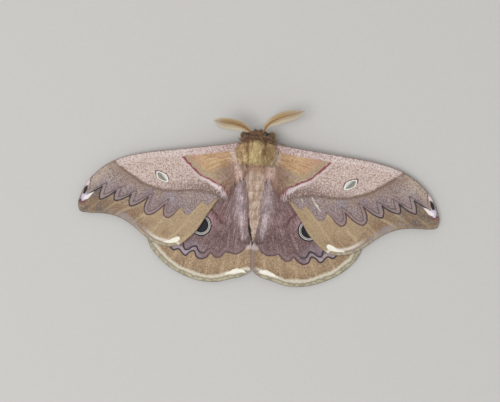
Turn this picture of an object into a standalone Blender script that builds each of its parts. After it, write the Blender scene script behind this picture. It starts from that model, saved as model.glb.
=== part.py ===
# A giant silk moth at life size, resting on its six feet with its four wings spread flat.
# +Y runs towards the head, +X towards the moth's right wing tip and +Z up; the floor is z = 0.
# Every size below is in millimetres. The last step scales the finished pieces to metres.

import math
import random

import bmesh
import bpy
import numpy as np
from mathutils import Vector, geometry

METRES_PER_MM = 0.001
SHARP_ANGLE = 38.0  # degrees between faces, from which an edge shows
GAP = 0.3  # clearance that neighbouring pieces keep
BODY_X = 0.45  # the body rests a little to the right of the middle of the wings
SIDES = (("left", -1), ("right", 1))

# Wings: plan outlines of the right pair, from the leading edge's root round the tip to the inner edge.
MEMBRANE = 0.5  # thickness of a wing
VEIN_RAISE = 0.17  # how far a vein stands out of each face
VEIN_HALF_WIDTH = 0.45
OUTLINE_STEP = 2.3
VEIN_STEP = 2.7
FILL_STEP = 3.6

FORE_OUTLINE = (
    (3.6, 19.3), (12.2, 18.0), (21.5, 16.8), (30.8, 15.6), (38.0, 14.6), (44.8, 13.2),
    (49.6, 11.6), (54.2, 9.1), (58.0, 6.0), (60.9, 2.5), (62.8, -1.3), (63.8, -5.4),
    (63.0, -7.6), (60.3, -8.1), (54.8, -8.1), (50.2, -8.7), (46.5, -10.1), (42.9, -12.3),
    (39.3, -15.1), (35.7, -17.4), (30.0, -18.7), (26.2, -18.0), (23.1, -15.7), (19.9, -12.4),
    (15.8, -5.9), (11.9, -0.5), (9.0, 2.9), (6.8, 6.4), (3.6, 9.6),
)
FORE_VEINS = {
    "subcosta": ((5.0, 17.9), (14.0, 16.3), (26.0, 14.8), (37.0, 13.3), (44.0, 12.6)),
    "radius": ((5.0, 16.0), (14.0, 14.0), (24.0, 12.3), (34.0, 9.9), (46.0, 7.4), (57.5, 4.6)),
    "radius_fork": ((46.0, 7.4), (54.0, 3.6), (61.4, -1.2)),
    "media_1": ((34.0, 9.9), (44.0, 4.6), (53.0, -1.2), (59.8, -6.9)),
    "media_2": ((34.4, 6.2), (42.0, 2.0), (49.0, -3.4), (54.4, -7.3)),
    "media_3": ((31.8, 3.0), (38.0, -0.6), (44.5, -5.2), (49.2, -8.0)),
    "cubitus_1": ((27.4, 3.2), (33.0, -1.6), (39.0, -7.4), (43.6, -11.0)),
    "cubitus_2": ((21.5, 5.4), (27.0, -1.6), (33.0, -9.8), (37.6, -15.4)),
    "cubitus": ((5.0, 13.4), (13.0, 9.6), (21.5, 5.4), (27.4, 3.2), (31.8, 3.0)),
    "cell_end": ((34.0, 9.9), (34.9, 8.0), (34.4, 6.2), (31.8, 3.0)),
    "anal": ((5.0, 11.4), (12.0, 5.4), (19.0, -3.0), (25.5, -11.5), (29.8, -17.7)),
}
HIND_OUTLINE = (
    (2.2, 8.8), (8.0, 9.2), (16.0, 7.4), (25.0, 1.6), (32.0, -6.2), (36.8, -12.2),
    (38.0, -16.2), (36.6, -19.7), (34.4, -22.4), (31.0, -25.4), (26.2, -28.1), (21.3, -29.9),
    (16.6, -30.7), (12.0, -30.5), (7.3, -29.1), (3.5, -28.0), (1.7, -27.0),
)
HIND_VEINS = {
    "subcosta": ((4.6, 7.2), (12.0, 6.4), (20.0, 2.9), (28.0, -3.6), (33.6, -10.4)),
    "radius": ((12.5, 2.0), (22.0, -2.6), (30.0, -9.2), (35.4, -15.6)),
    "media_1": ((12.5, 2.0), (20.0, -4.8), (28.0, -13.0), (33.9, -20.2)),
    "media_2": ((12.0, -1.4), (18.5, -8.4), (24.8, -17.0), (29.8, -24.2)),
    "media_3": ((10.5, -3.6), (15.0, -11.0), (19.6, -19.6), (23.4, -27.4)),
    "cubitus_1": ((8.2, -3.0), (11.2, -11.0), (14.4, -20.0), (16.6, -29.0)),
    "cubitus": ((4.8, 5.6), (6.8, 1.0), (8.2, -3.0), (10.5, -3.6)),
    "cell_end": ((12.5, 2.0), (12.0, -1.4), (10.5, -3.6)),
    "stem": ((4.8, 6.4), (8.6, 4.4), (12.5, 2.0)),
    "anal_1": ((4.6, 3.6), (6.2, -5.0), (8.8, -17.0), (10.8, -28.4)),
    "anal_2": ((4.0, 0.0), (4.0, -8.0), (4.4, -18.0), (5.0, -26.8)),
}
HIND_INNER_X = {-1: -0.1, 1: 0.6}  # measured outwards from the middle of the wings
HIND_INNER_ENDS = (-25.2, 6.0)

# The surface of a wing falls from the shoulder towards the floor, along x and a little along y.
SLOPE_START = 6.0
SLOPE_REACH = 18.0
FORE_LOW, FORE_RISE, FORE_TILT, FORE_TILT_Y = 2.1, 5.2, 0.02, 2.0
HIND_LOW, HIND_RISE, HIND_FADE, HIND_FADE_Y, HIND_FADE_SPAN = 0.95, 4.0, 0.7, 8.0, 38.0

# Body lengthwise stations: y, half width, lowest z, highest z. The ends close on a point.
THORAX = (
    (10.9, 0.0, 6.0, 6.0), (11.5, 3.5, 3.6, 9.2), (13.1, 5.2, 2.6, 10.7), (15.8, 5.8, 2.2, 11.2),
    (18.2, 5.8, 2.4, 11.0), (19.8, 5.2, 3.2, 10.3), (20.6, 3.6, 4.4, 9.4), (21.0, 0.0, 6.8, 6.8),
)
ABDOMEN = (
    (12.4, 0.0, 5.6, 5.6), (12.0, 3.4, 2.6, 8.6), (8.0, 4.0, 1.9, 9.0), (2.0, 3.4, 1.8, 8.2),
    (-3.0, 2.8, 1.9, 7.2), (-7.0, 2.2, 2.1, 6.2), (-10.4, 1.55, 2.4, 5.3), (-13.2, 0.9, 2.8, 4.6),
    (-14.6, 0.0, 3.6, 3.6),
)
ABDOMEN_RINGS = 8
ABDOMEN_RING_DEPTH = 0.16
HEAD = (
    (19.5, 0.0, 6.0, 6.0), (20.0, 2.0, 4.2, 7.8), (21.2, 2.45, 3.8, 8.2), (22.3, 2.0, 4.1, 7.8),
    (22.8, 1.2, 4.8, 7.1), (23.1, 0.0, 5.9, 5.9),
)
BODY_SIDES = 18
BODY_LOOPS = {"thorax": 12, "abdomen": 33, "head": 9}  # rings of points along each part's length
BODY_SQUARENESS = 2.3
EYE_CENTRE = (2.3, 22.0, 5.9)
EYE_RADIUS = 1.15
PALP = ((0.7, 22.1, 4.8), (0.9, 23.1, 4.2), (0.95, 23.6, 4.3))
PALP_RADII = (0.5, 0.45, 0.25)

# Coat of the thorax and crown, in overlapping rows of flat tapered locks.
LOCK_THICKNESS = 0.55
LOCK_STATIONS = ((0.0, 0.75, 1.0), (0.38, 1.0, 1.0), (0.74, 0.72, 0.8))  # shares of length, width, thickness
THORAX_LOCK_ROWS = (19.3, 18.0, 16.7, 15.4, 14.1)
THORAX_LOCK_SPREAD = 62.0  # degrees each side of the top
THORAX_LOCKS_IN_ROW = 7
THORAX_LOCK_LENGTH = 3.7
THORAX_LOCK_WIDTH = 1.8
THORAX_LOCK_FAN = 0.28  # how far the outer locks turn outwards
LOCK_ROOT_DEPTH = 0.7
LOCK_LIFT = 0.75
LOCK_CLEARANCE = 0.7  # from a lock's middle line down to the wing roots
WING_ROOT_X, WING_ROOT_FRONT = 3.2, 20.5  # where the locks have the wing roots under them
CROWN_LOCKS = 5
CROWN_LOCK_SPREAD = 24.0
CROWN_LOCK_LENGTH = 1.4
CROWN_LOCK_WIDTH = 0.75
CROWN_LOCK_LIFT = 0.25
CROWN_LOCK_FAN = 0.25
CROWN_LOCK_DROP = 0.32
CROWN_Y = 21.8
COLLAR_LOCKS = 7
COLLAR_LOCK_SPREAD = 60.0
COLLAR_LOCK_LENGTH = 2.4
COLLAR_LOCK_WIDTH = 2.3
COLLAR_LOCK_LIFT = 0.4
COLLAR_LOCK_FAN = 0.35
COLLAR_Y = 19.6

# Feelers: the middle rod's course for each side, and the comb teeth along both of its edges.
FEELER_COURSE = {
    -1: ((-0.9, 21.9, 6.9), (-3.9, 24.0, 8.6), (-7.0, 24.9, 9.9), (-10.1, 25.3, 11.1), (-14.1, 25.8, 12.2)),
    1: (
        (2.0, 21.9, 6.9), (3.8, 25.1, 8.3), (6.5, 26.9, 8.9), (9.3, 28.1, 9.3), (12.0, 28.9, 9.4),
        (16.2, 30.1, 9.4),
    ),
}
FEELER_ROD = (0.42, 0.2)  # radius at root and tip
FEELER_TEETH = 14
FEELER_TEETH_SPAN = (0.13, 0.96)  # of the rod's length, from the first tooth to the last
FEELER_TOOTH_LENGTH = {"leading": 2.5, "trailing": 3.3}
FEELER_TOOTH_RADIUS = 0.3
FEELER_TOOTH_DROP = 0.12  # how far a tooth leans down, as a share of its length
FEELER_TOOTH_ROOT = 0.12
FEELER_SWELL = (0.12, 0.92)  # the stretch of a half sine wave that gives the teeth their lengths
FEELER_FULLNESS = 0.75
FEELER_STAGGER = 0.007  # of the rod's length, between the two edges' teeth
FEELER_TOOTH_SWEEP = 50.0  # degrees from the rod, towards its tip

# Legs of the right side: points from the hip to the toe, with the leg's radius at each.
LEGS = {
    "fore": (
        ((2.2, 17.8, 4.8), 0.9), ((3.6, 19.3, 4.3), 0.85), ((4.5, 20.6, 4.8), 0.95), ((4.9, 21.4, 5.1), 0.95),
        ((4.8, 22.1, 4.2), 0.65), ((4.2, 22.5, 2.5), 0.55), ((3.5, 22.6, 1.0), 0.45),
        ((2.8, 22.6, 0.36), 0.38), ((2.0, 22.9, 0.33), 0.36), ((1.3, 23.3, 0.3), 0.3),
    ),
    "mid": (
        ((2.6, 15.6, 4.8), 0.95), ((4.2, 15.8, 3.9), 0.9), ((6.6, 16.3, 3.3), 0.9), ((8.6, 16.4, 3.4), 0.85),
        ((9.6, 15.8, 3.0), 0.6), ((11.2, 14.4, 1.7), 0.55), ((12.4, 13.3, 0.8), 0.45),
        ((13.3, 12.5, 0.35), 0.4), ((14.8, 11.3, 0.33), 0.38), ((16.2, 10.2, 0.3), 0.3),
    ),
    "hind": (
        ((2.2, 13.4, 4.8), 0.95), ((4.0, 12.4, 3.8), 0.9), ((6.4, 10.6, 2.9), 0.9), ((8.2, 8.9, 2.7), 0.8),
        ((8.9, 7.6, 2.4), 0.6), ((9.4, 4.6, 1.6), 0.55), ((9.7, 1.6, 0.8), 0.45),
        ((9.8, 0.0, 0.38), 0.4), ((9.9, -3.4, 0.35), 0.38), ((10.0, -6.6, 0.3), 0.3),
    ),
}
LEG_SIDES = 6
LEG_STEP = 1.3

# Colour, roughness.
FINISHES = {
    "thorax_fur": ((0.36, 0.27, 0.12), 0.9),
    "abdomen_fur": ((0.42, 0.28, 0.18), 0.9),
    "head_fur": ((0.30, 0.19, 0.13), 0.9),
    "eye": ((0.02, 0.015, 0.012), 0.25),
    "feeler": ((0.42, 0.26, 0.10), 0.7),
    "fore_scales": ((0.42, 0.30, 0.22), 0.85),
    "hind_scales": ((0.32, 0.20, 0.18), 0.85),
    "leg_fur": ((0.33, 0.24, 0.13), 0.9),
}


def material(finish):
    """The Principled material of this finish, made once."""
    found = bpy.data.materials.get(finish)
    if found:
        return found
    colour, roughness = FINISHES[finish]
    made = bpy.data.materials.new(finish)
    made.use_nodes = True
    shader = made.node_tree.nodes["Principled BSDF"]
    shader.inputs["Base Color"].default_value = (*colour, 1.0)
    shader.inputs["Roughness"].default_value = roughness
    shader.inputs["Metallic"].default_value = 0.0
    made.diffuse_color = (*colour, 1.0)
    return made


def mesh_object(name, points, faces, finish=None):
    """A closed mesh as an object of the scene, with its normals outwards."""
    mesh = bpy.data.meshes.new(name)
    mesh.from_pydata([tuple(map(float, p)) for p in points], [], [tuple(f) for f in faces])
    work = bmesh.new()
    work.from_mesh(mesh)
    bmesh.ops.recalc_face_normals(work, faces=work.faces)
    if work.calc_volume(signed=True) < 0:
        bmesh.ops.reverse_faces(work, faces=work.faces)
    work.to_mesh(mesh)
    work.free()
    if finish:
        mesh.materials.append(material(finish))
    made = bpy.data.objects.new(name, mesh)
    bpy.context.scene.collection.objects.link(made)
    return made


def smooth_path(points, step):
    """Points about a step apart on a smooth curve through the given ones."""
    knots = np.array(points, float)
    spans = np.linalg.norm(np.diff(knots, axis=0), axis=1)
    at = np.concatenate([[0.0], np.cumsum(spans)])
    slopes = np.gradient(knots, at, axis=0)
    wanted = np.linspace(0.0, at[-1], max(2, int(round(at[-1] / step)) + 1))
    index = np.clip(np.searchsorted(at, wanted, side="right") - 1, 0, len(spans) - 1)
    length = spans[index][:, None]
    t = ((wanted - at[index]) / spans[index])[:, None]
    return (
        (2 * t**3 - 3 * t**2 + 1) * knots[index]
        + (t**3 - 2 * t**2 + t) * length * slopes[index]
        + (3 * t**2 - 2 * t**3) * knots[index + 1]
        + (t**3 - t**2) * length * slopes[index + 1]
    )


def rings_to_mesh(name, rings, finish=None):
    """A closed loft: equal rings of points joined in order, the first and last closed on their centres."""
    count = len(rings[0])
    points = [rings[0].mean(axis=0)] + [p for ring in rings for p in ring] + [rings[-1].mean(axis=0)]
    faces = []
    for i in range(count):
        after = (i + 1) % count
        faces.append((0, 1 + after, 1 + i))
        for r in range(len(rings) - 1):
            a, b = 1 + r * count, 1 + (r + 1) * count
            faces.append((a + i, a + after, b + after, b + i))
        last = 1 + (len(rings) - 1) * count
        faces.append((last + i, last + after, len(points) - 1))
    return mesh_object(name, points, faces, finish)


def body_section(stations, y, grow=0.0):
    """Half width, lowest z and highest z of a body at y, on a smooth curve through its stations."""
    table = np.array(sorted(stations), float)
    where = np.interp(y, table[:, 0], np.arange(len(table)))
    low = int(np.clip(np.floor(where), 0, len(table) - 2))
    t = where - low
    ends = table[low : low + 2, 1:]
    before = table[max(low - 1, 0), 1:]
    after = table[min(low + 2, len(table) - 1), 1:]
    rise = ((ends[1] - before) / 2, (after - ends[0]) / 2)
    half, bottom, top = (
        (2 * t**3 - 3 * t**2 + 1) * ends[0]
        + (t**3 - 2 * t**2 + t) * rise[0]
        + (3 * t**2 - 2 * t**3) * ends[1]
        + (t**3 - t**2) * rise[1]
    )
    return max(half, 0.02) + grow, bottom - grow, top + grow


def body_point(stations, y, turn, grow=0.0):
    """A point on a body's surface at y, turn radians from the top towards +X."""
    half, bottom, top = body_section(stations, y, grow)
    across, up = math.sin(turn), math.cos(turn)
    reach = (abs(across) ** BODY_SQUARENESS + abs(up) ** BODY_SQUARENESS) ** (-1 / BODY_SQUARENESS)
    middle, height = (top + bottom) / 2, (top - bottom) / 2
    return np.array((BODY_X + half * reach * across, y, middle + height * reach * up))


def body(name, stations, rings, finish=None, grow=0.0, groove=None):
    """A furry body part, lofted through its stations, with rings closer together near its two ends."""
    ys = sorted(s[0] for s in stations)
    start, end = ys[0] - grow, ys[-1] + grow
    eased = (1 - np.cos(np.linspace(0, math.pi, rings + 2)[1:-1])) / 2
    loops = []
    for y in start + eased * (end - start):
        inside = ys[0] + (y - start) / (end - start) * (ys[-1] - ys[0])
        size = grow - (groove(inside) if groove else 0.0)
        turns = np.arange(BODY_SIDES) * 2 * math.pi / BODY_SIDES
        loop = np.array([body_point(stations, inside, turn, size) for turn in turns])
        loop[:, 1] = y
        loops.append(loop)
    return rings_to_mesh(name, loops, finish)


def tube(name, course, radii, sides, finish=None, floor=False):
    """A rod of changing radius along a course. With floor, what would pass below z = 0 lies flat on it."""
    course = np.asarray(course, float)
    along = np.gradient(course, axis=0)
    rings = []
    across = None
    for centre, forward, radius in zip(course, along, radii):
        forward = forward / np.linalg.norm(forward)
        guide = np.array((0.0, 0.0, 1.0)) if across is None else across
        side = np.cross(forward, np.cross(guide, forward))
        across = side / np.linalg.norm(side)
        other = np.cross(forward, across)
        turns = np.arange(sides) * 2 * math.pi / sides
        ring = centre + radius * (np.cos(turns)[:, None] * across + np.sin(turns)[:, None] * other)
        rings.append(ring)
    if floor:
        for ring in rings:
            ring[:, 2] = np.maximum(ring[:, 2], 0.0)
    return rings_to_mesh(name, rings, finish)


def ball(name, centre, radius, finish=None, divisions=2):
    """A round eye or its socket's cutter."""
    work = bmesh.new()
    bmesh.ops.create_icosphere(work, subdivisions=divisions, radius=radius)
    bmesh.ops.translate(work, verts=work.verts, vec=Vector(centre))
    points = [tuple(v.co) for v in work.verts]
    faces = [[v.index for v in f.verts] for f in work.faces]
    work.free()
    return mesh_object(name, points, faces, finish)


def apply_modifiers(obj):
    """Keeps the object's evaluated mesh and drops its modifiers."""
    graph = bpy.context.evaluated_depsgraph_get()
    kept = bpy.data.meshes.new_from_object(obj.evaluated_get(graph))
    obj.modifiers.clear()
    obj.data = kept


def keep_largest(obj):
    """Drops all but the object's largest closed surface."""
    work = bmesh.new()
    work.from_mesh(obj.data)
    work.verts.ensure_lookup_table()
    seen, pieces = set(), []
    for start in work.verts:
        if start in seen:
            continue
        piece, waiting = set(), [start]
        while waiting:
            vert = waiting.pop()
            if vert in piece:
                continue
            piece.add(vert)
            waiting.extend(e.other_vert(vert) for e in vert.link_edges)
        seen |= piece
        pieces.append(piece)
    largest = max(pieces, key=len)
    bmesh.ops.delete(work, geom=[v for v in work.verts if v not in largest], context="VERTS")
    work.to_mesh(obj.data)
    work.free()


def fuse(obj, pieces, solver="EXACT"):
    """Joins closed pieces into the object with one Boolean union."""
    group = bpy.data.collections.new(obj.name + "_pieces")
    bpy.context.scene.collection.children.link(group)
    for piece in pieces:
        bpy.context.scene.collection.objects.unlink(piece)
        group.objects.link(piece)
    join = obj.modifiers.new("join", "BOOLEAN")
    join.operation = "UNION"
    join.operand_type = "COLLECTION"
    join.collection = group
    join.solver = solver
    apply_modifiers(obj)
    for piece in pieces:
        bpy.data.objects.remove(piece)
    bpy.data.collections.remove(group)
    keep_largest(obj)


def cut(obj, *cutters):
    """Takes each cutter's space out of the object."""
    for cutter in cutters:
        part = obj.modifiers.new("cut", "BOOLEAN")
        part.operation = "DIFFERENCE"
        part.object = cutter
    apply_modifiers(obj)
    keep_largest(obj)


def fore_height(x, y):
    """Height of the forewing's middle surface above the floor."""
    drop = np.exp((SLOPE_START - np.abs(x)) / SLOPE_REACH)
    return FORE_LOW + FORE_RISE * drop + FORE_TILT * (y - FORE_TILT_Y)


def hind_height(x, y):
    """Height of the hindwing's middle surface, which falls away to the rear as well."""
    fade = 1 - HIND_FADE * (HIND_FADE_Y - y) / HIND_FADE_SPAN
    drop = np.exp((SLOPE_START - np.abs(x)) / SLOPE_REACH)
    return HIND_LOW + HIND_RISE * fade * drop


def distance_to_lines(points, lines):
    """How far each plan point is from the nearest of several polylines."""
    nearest = np.full(len(points), np.inf)
    for line in lines:
        for a, b in zip(line[:-1], line[1:]):
            edge = b - a
            t = np.clip(((points - a) @ edge) / (edge @ edge), 0, 1)[:, None]
            nearest = np.minimum(nearest, np.linalg.norm(points - (a + t * edge), axis=1))
    return nearest


def inside_outline(points, outline):
    """Which plan points lie inside a closed outline."""
    within = np.zeros(len(points), bool)
    x, y = points.T
    for (x0, y0), (x1, y1) in zip(outline, np.roll(outline, -1, axis=0)):
        crosses = (y0 > y) != (y1 > y)
        with np.errstate(divide="ignore", invalid="ignore"):
            within ^= crosses & (x < (x1 - x0) * (y - y0) / (y1 - y0) + x0)
    return within


def wing_plan(outline, veins):
    """Plan points and triangles of a wing, with every vein's crest and both of its feet as mesh lines."""
    crests = [smooth_path(vein, VEIN_STEP) for vein in veins]
    points, edges = list(outline), []
    edges += [(i, (i + 1) % len(outline)) for i in range(len(outline))]
    feet = []
    for crest in crests:
        along = np.gradient(crest, axis=0)
        across = np.stack([-along[:, 1], along[:, 0]], 1) / np.linalg.norm(along, axis=1)[:, None]
        feet += [crest + VEIN_HALF_WIDTH * across, crest - VEIN_HALF_WIDTH * across]
        start = len(points)
        points += list(crest)
        edges += [(start + i, start + i + 1) for i in range(len(crest) - 1)]
    feet = np.concatenate(feet)
    clear = distance_to_lines(feet, crests) > VEIN_HALF_WIDTH * 0.9
    feet = feet[clear & inside_outline(feet, outline)]
    rim = [np.vstack([outline, outline[:1]])]
    feet = feet[distance_to_lines(feet, rim) > VEIN_HALF_WIDTH * 0.8]
    low, high = outline.min(0), outline.max(0)
    rows = np.arange(low[1], high[1], FILL_STEP * math.sqrt(3) / 2)
    fill = np.array([
        (x + (k % 2) * FILL_STEP / 2, y)
        for k, y in enumerate(rows)
        for x in np.arange(low[0], high[0], FILL_STEP)
    ])
    fill = fill[inside_outline(fill, outline)]
    fill = fill[distance_to_lines(fill, crests + rim) > FILL_STEP * 0.42]
    points += list(feet) + list(fill)
    made = geometry.delaunay_2d_cdt(
        [Vector((float(p[0]), float(p[1]))) for p in points],
        edges, [tuple(range(len(outline)))], 1, 1e-4,
    )
    plan = np.array([tuple(p) for p in made[0]])
    away = distance_to_lines(plan, crests)
    ridge = VEIN_RAISE * np.clip(1 - away / VEIN_HALF_WIDTH, 0, 1)
    return plan, [tuple(f) for f in made[2]], ridge


def wing(name, side, outline, veins, height, finish):
    """A wing: one plan mesh used for both faces, so that they never cross, with a wall round its rim."""
    plan, triangles, ridge = wing_plan(outline, veins)
    middle = height(plan[:, 0], plan[:, 1])
    half = MEMBRANE / 2 + ridge
    count = len(plan)
    flat = np.stack([plan[:, 0] * side, plan[:, 1]], 1)
    points = np.vstack([
        np.column_stack([flat, middle + half]),
        np.column_stack([flat, middle - half]),
    ])
    sides = {}
    for a, b, c in triangles:
        for edge in ((a, b), (b, c), (c, a)):
            sides[tuple(sorted(edge))] = None if tuple(sorted(edge)) in sides else edge
    faces = list(triangles) + [(c + count, b + count, a + count) for a, b, c in triangles]
    faces += [(b, a, a + count, b + count) for a, b in filter(None, sides.values())]
    return mesh_object(name, points, faces, finish)


def lock(name, root, lie, up, length, width, lift, rest_above=None):
    """A flat tapered lock of coat that starts inside the body, lies along it and lifts at its tip."""
    lie, up = (np.asarray(v, float) / np.linalg.norm(v) for v in (lie, up))
    across = np.cross(lie, up)
    across /= np.linalg.norm(across)
    rows = []
    for share, wide, thick in LOCK_STATIONS:
        centre = root + lie * length * share + up * (lift * share**1.4 - LOCK_ROOT_DEPTH * (1 - share) ** 2)
        if rest_above:
            centre[2] = max(centre[2], rest_above(centre) + LOCK_THICKNESS * thick / 2)
        half_width, half_thick = width * wide / 2, LOCK_THICKNESS * thick / 2
        rows.append([
            centre + across * half_width, centre + up * half_thick,
            centre - across * half_width, centre - up * half_thick,
        ])
    tip = root + lie * length + up * lift
    if rest_above:
        tip[2] = max(tip[2], rest_above(tip))
    points = [p for row in rows for p in row] + [tip]
    faces = [(3, 2, 1, 0)]
    for r in range(len(rows) - 1):
        for i in range(4):
            after = (i + 1) % 4
            a, b = 4 * r, 4 * (r + 1)
            faces.append((a + i, a + after, b + after, b + i))
    last = 4 * (len(rows) - 1)
    faces += [(last + i, last + (i + 1) % 4, len(points) - 1) for i in range(4)]
    return mesh_object(name, points, faces)


def above_neighbours(point):
    """The lowest z that a lock may have here: clear of the wing roots and of the abdomen."""
    x, y = abs(point[0]), point[1]
    beside = abs(point[0] - BODY_X)
    lowest = 0.0
    if x > WING_ROOT_X and y < WING_ROOT_FRONT:
        lowest = fore_height(x, y) + MEMBRANE / 2 + VEIN_RAISE + LOCK_CLEARANCE
    if y < ABDOMEN[1][0]:
        half, bottom, top = body_section(ABDOMEN, y)
        if beside < half + GAP:
            lowest = max(lowest, top + GAP)
        elif y < THORAX[1][0]:
            lowest = max(lowest, fore_height(max(x, SLOPE_START), y) + MEMBRANE + GAP)
    return lowest


def thorax():
    """The furry thorax: a core and rows of locks that lie back over it and over the wing roots."""
    draw = random.Random(13)
    core = body("thorax", THORAX, BODY_LOOPS["thorax"], "thorax_fur")
    locks = []
    for row, y in enumerate(THORAX_LOCK_ROWS):
        count = THORAX_LOCKS_IN_ROW + row % 2
        for turn in np.linspace(-THORAX_LOCK_SPREAD, THORAX_LOCK_SPREAD, count):
            turn = math.radians(turn + draw.uniform(-2.0, 2.0))
            root = body_point(THORAX, y, turn)
            ahead = body_point(THORAX, y - 1.0, turn)
            around = body_point(THORAX, y, turn + 0.05) - root
            lie = ahead - root
            up = np.cross(around, lie)
            lie = lie + THORAX_LOCK_FAN * math.sin(turn) * around / np.linalg.norm(around)
            length = THORAX_LOCK_LENGTH * draw.uniform(0.88, 1.1)
            width = THORAX_LOCK_WIDTH * draw.uniform(0.9, 1.1)
            lift = LOCK_LIFT * draw.uniform(0.8, 1.2)
            locks.append(lock("lock", root, lie, up, length, width, lift, above_neighbours))
    for turn in np.linspace(-COLLAR_LOCK_SPREAD, COLLAR_LOCK_SPREAD, COLLAR_LOCKS):
        turn = math.radians(turn)
        root = body_point(THORAX, COLLAR_Y, turn)
        up = np.array((math.sin(turn), 0.25, math.cos(turn)))
        lie = np.array((COLLAR_LOCK_FAN * math.sin(turn), 1.0, 0.05))
        length = COLLAR_LOCK_LENGTH * (0.65 + 0.35 * math.cos(turn)) * draw.uniform(0.92, 1.08)
        locks.append(lock("lock", root, lie, up, length, COLLAR_LOCK_WIDTH, COLLAR_LOCK_LIFT))
    fuse(core, locks)
    return core


def abdomen():
    """The abdomen, with a shallow groove between its rings, parted from the thorax."""
    def groove(y):
        share = (y - ABDOMEN[-1][0]) / (ABDOMEN[0][0] - ABDOMEN[-1][0]) * ABDOMEN_RINGS
        return ABDOMEN_RING_DEPTH * abs(math.cos(math.pi * share)) ** 6

    return body("abdomen", ABDOMEN, BODY_LOOPS["abdomen"], "abdomen_fur", groove=groove)


def head():
    """The head with its two short palps and a crown of locks, its eye sockets hollowed for the eyes."""
    draw = random.Random(3)
    core = body("head", HEAD, BODY_LOOPS["head"], "head_fur")
    pieces = []
    for name, side in SIDES:
        course = smooth_path([(BODY_X + x * side, y, z) for x, y, z in PALP], 0.5)
        radii = np.interp(np.linspace(0, 1, len(course)), (0, 0.5, 1), PALP_RADII)
        pieces.append(tube("palp_" + name, course, radii, 6))
    for turn in np.linspace(-CROWN_LOCK_SPREAD, CROWN_LOCK_SPREAD, CROWN_LOCKS):
        turn = math.radians(turn)
        root = body_point(HEAD, CROWN_Y, turn)
        up = np.array((math.sin(turn), 0.0, math.cos(turn)))
        lie = np.array((CROWN_LOCK_FAN * math.sin(turn), 1.0, -CROWN_LOCK_DROP))
        length = CROWN_LOCK_LENGTH * draw.uniform(0.9, 1.1)
        pieces.append(lock("lock", root, lie, up, length, CROWN_LOCK_WIDTH, CROWN_LOCK_LIFT))
    fuse(core, pieces)
    return core


def eye_place(side):
    x, y, z = EYE_CENTRE
    return (BODY_X + x * side, y, z)


def feeler(name, side):
    """A comb-like feeler: a tapered rod with swept teeth along both edges, longest in its middle."""
    course = smooth_path(FEELER_COURSE[side], 1.5)
    share = np.linspace(0, 1, len(course))
    rod = tube(name, course, np.interp(share, (0, 1), FEELER_ROD), 6, "feeler")
    fine = smooth_path(FEELER_COURSE[side], 0.1)
    along = np.gradient(fine, axis=0)
    teeth = []
    for i in range(FEELER_TEETH):
        for edge in (-1, 1):
            at = np.interp(i, (0, FEELER_TEETH - 1), FEELER_TEETH_SPAN) + FEELER_STAGGER * edge
            index = int(at * (len(fine) - 1))
            forward = along[index] / np.linalg.norm(along[index])
            across = np.cross(forward, (0.0, 0.0, 1.0))
            across /= np.linalg.norm(across)
            length = FEELER_TOOTH_LENGTH["trailing" if edge == side else "leading"]
            length *= math.sin(math.pi * np.interp(at, (0, 1), FEELER_SWELL)) ** FEELER_FULLNESS
            sweep = math.radians(FEELER_TOOTH_SWEEP)
            out = math.cos(sweep) * forward + math.sin(sweep) * edge * across
            out[2] -= FEELER_TOOTH_DROP
            out /= np.linalg.norm(out)
            base = fine[index] - out * FEELER_TOOTH_ROOT
            tooth = np.array([base, base + out * length * 0.55, base + out * length])
            radii = FEELER_TOOTH_RADIUS * (1 - 0.3 * at) * np.array((1.0, 0.85, 0.35))
            teeth.append(tube("tooth", tooth, radii, 4))
    fuse(rod, teeth, "MANIFOLD")
    return rod


def leg(name, side, points):
    """A leg from hip to toe, flat where its foot lies on the floor."""
    course = np.array([(BODY_X + x * side, y, z) for (x, y, z), radius in points])
    smooth = smooth_path(course, LEG_STEP)
    spans = np.concatenate([[0], np.cumsum(np.linalg.norm(np.diff(course, axis=0), axis=1))])
    marks = spans / spans[-1]
    radii = np.interp(np.linspace(0, 1, len(smooth)), marks, [radius for place, radius in points])
    return tube(name, smooth, radii, LEG_SIDES, "leg_fur", floor=True)


def scale_to_metres():
    for obj in bpy.context.scene.objects:
        obj.data.transform(obj.matrix_world @ obj.matrix_world.Scale(METRES_PER_MM, 4))
        obj.data.set_sharp_from_angle(angle=math.radians(SHARP_ANGLE))
        obj.data.shade_smooth()


def main():
    for obj in list(bpy.data.objects):
        bpy.data.objects.remove(obj)
    thorax_space = body("thorax_space", THORAX, BODY_LOOPS["thorax"], grow=GAP)
    abdomen_space = body("abdomen_space", ABDOMEN, 24, grow=GAP)
    head_space = body("head_space", HEAD, BODY_LOOPS["head"], grow=GAP)
    spaces = [thorax_space, abdomen_space, head_space]

    thorax()
    cut(abdomen(), thorax_space)

    fore_rim = smooth_path(FORE_OUTLINE, OUTLINE_STEP)
    for name, side in SIDES:
        fore = wing("forewing_" + name, side, fore_rim, FORE_VEINS.values(), fore_height, "fore_scales")
        cut(fore, thorax_space)
        inner = HIND_INNER_X[side]
        hind_rim = np.vstack([
            smooth_path(HIND_OUTLINE, OUTLINE_STEP),
            smooth_path([(inner, y) for y in HIND_INNER_ENDS], OUTLINE_STEP),
        ])
        hind = wing("hindwing_" + name, side, hind_rim, HIND_VEINS.values(), hind_height, "hind_scales")
        cut(hind, thorax_space, abdomen_space)

    skull = head()
    cut(skull, thorax_space)
    for name, side in SIDES:
        socket = ball("socket_" + name, eye_place(side), EYE_RADIUS + GAP)
        spaces.append(socket)
        cut(skull, socket)
        cut(ball("eye_" + name, eye_place(side), EYE_RADIUS, "eye"), thorax_space)
        cut(feeler("antenna_" + name, side), head_space, socket)
        for pair, points in LEGS.items():
            cut(leg(f"leg_{pair}_{name}", side, points), *spaces[:3])
    for space in spaces:
        bpy.data.objects.remove(space)
    scale_to_metres()


main()
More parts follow.
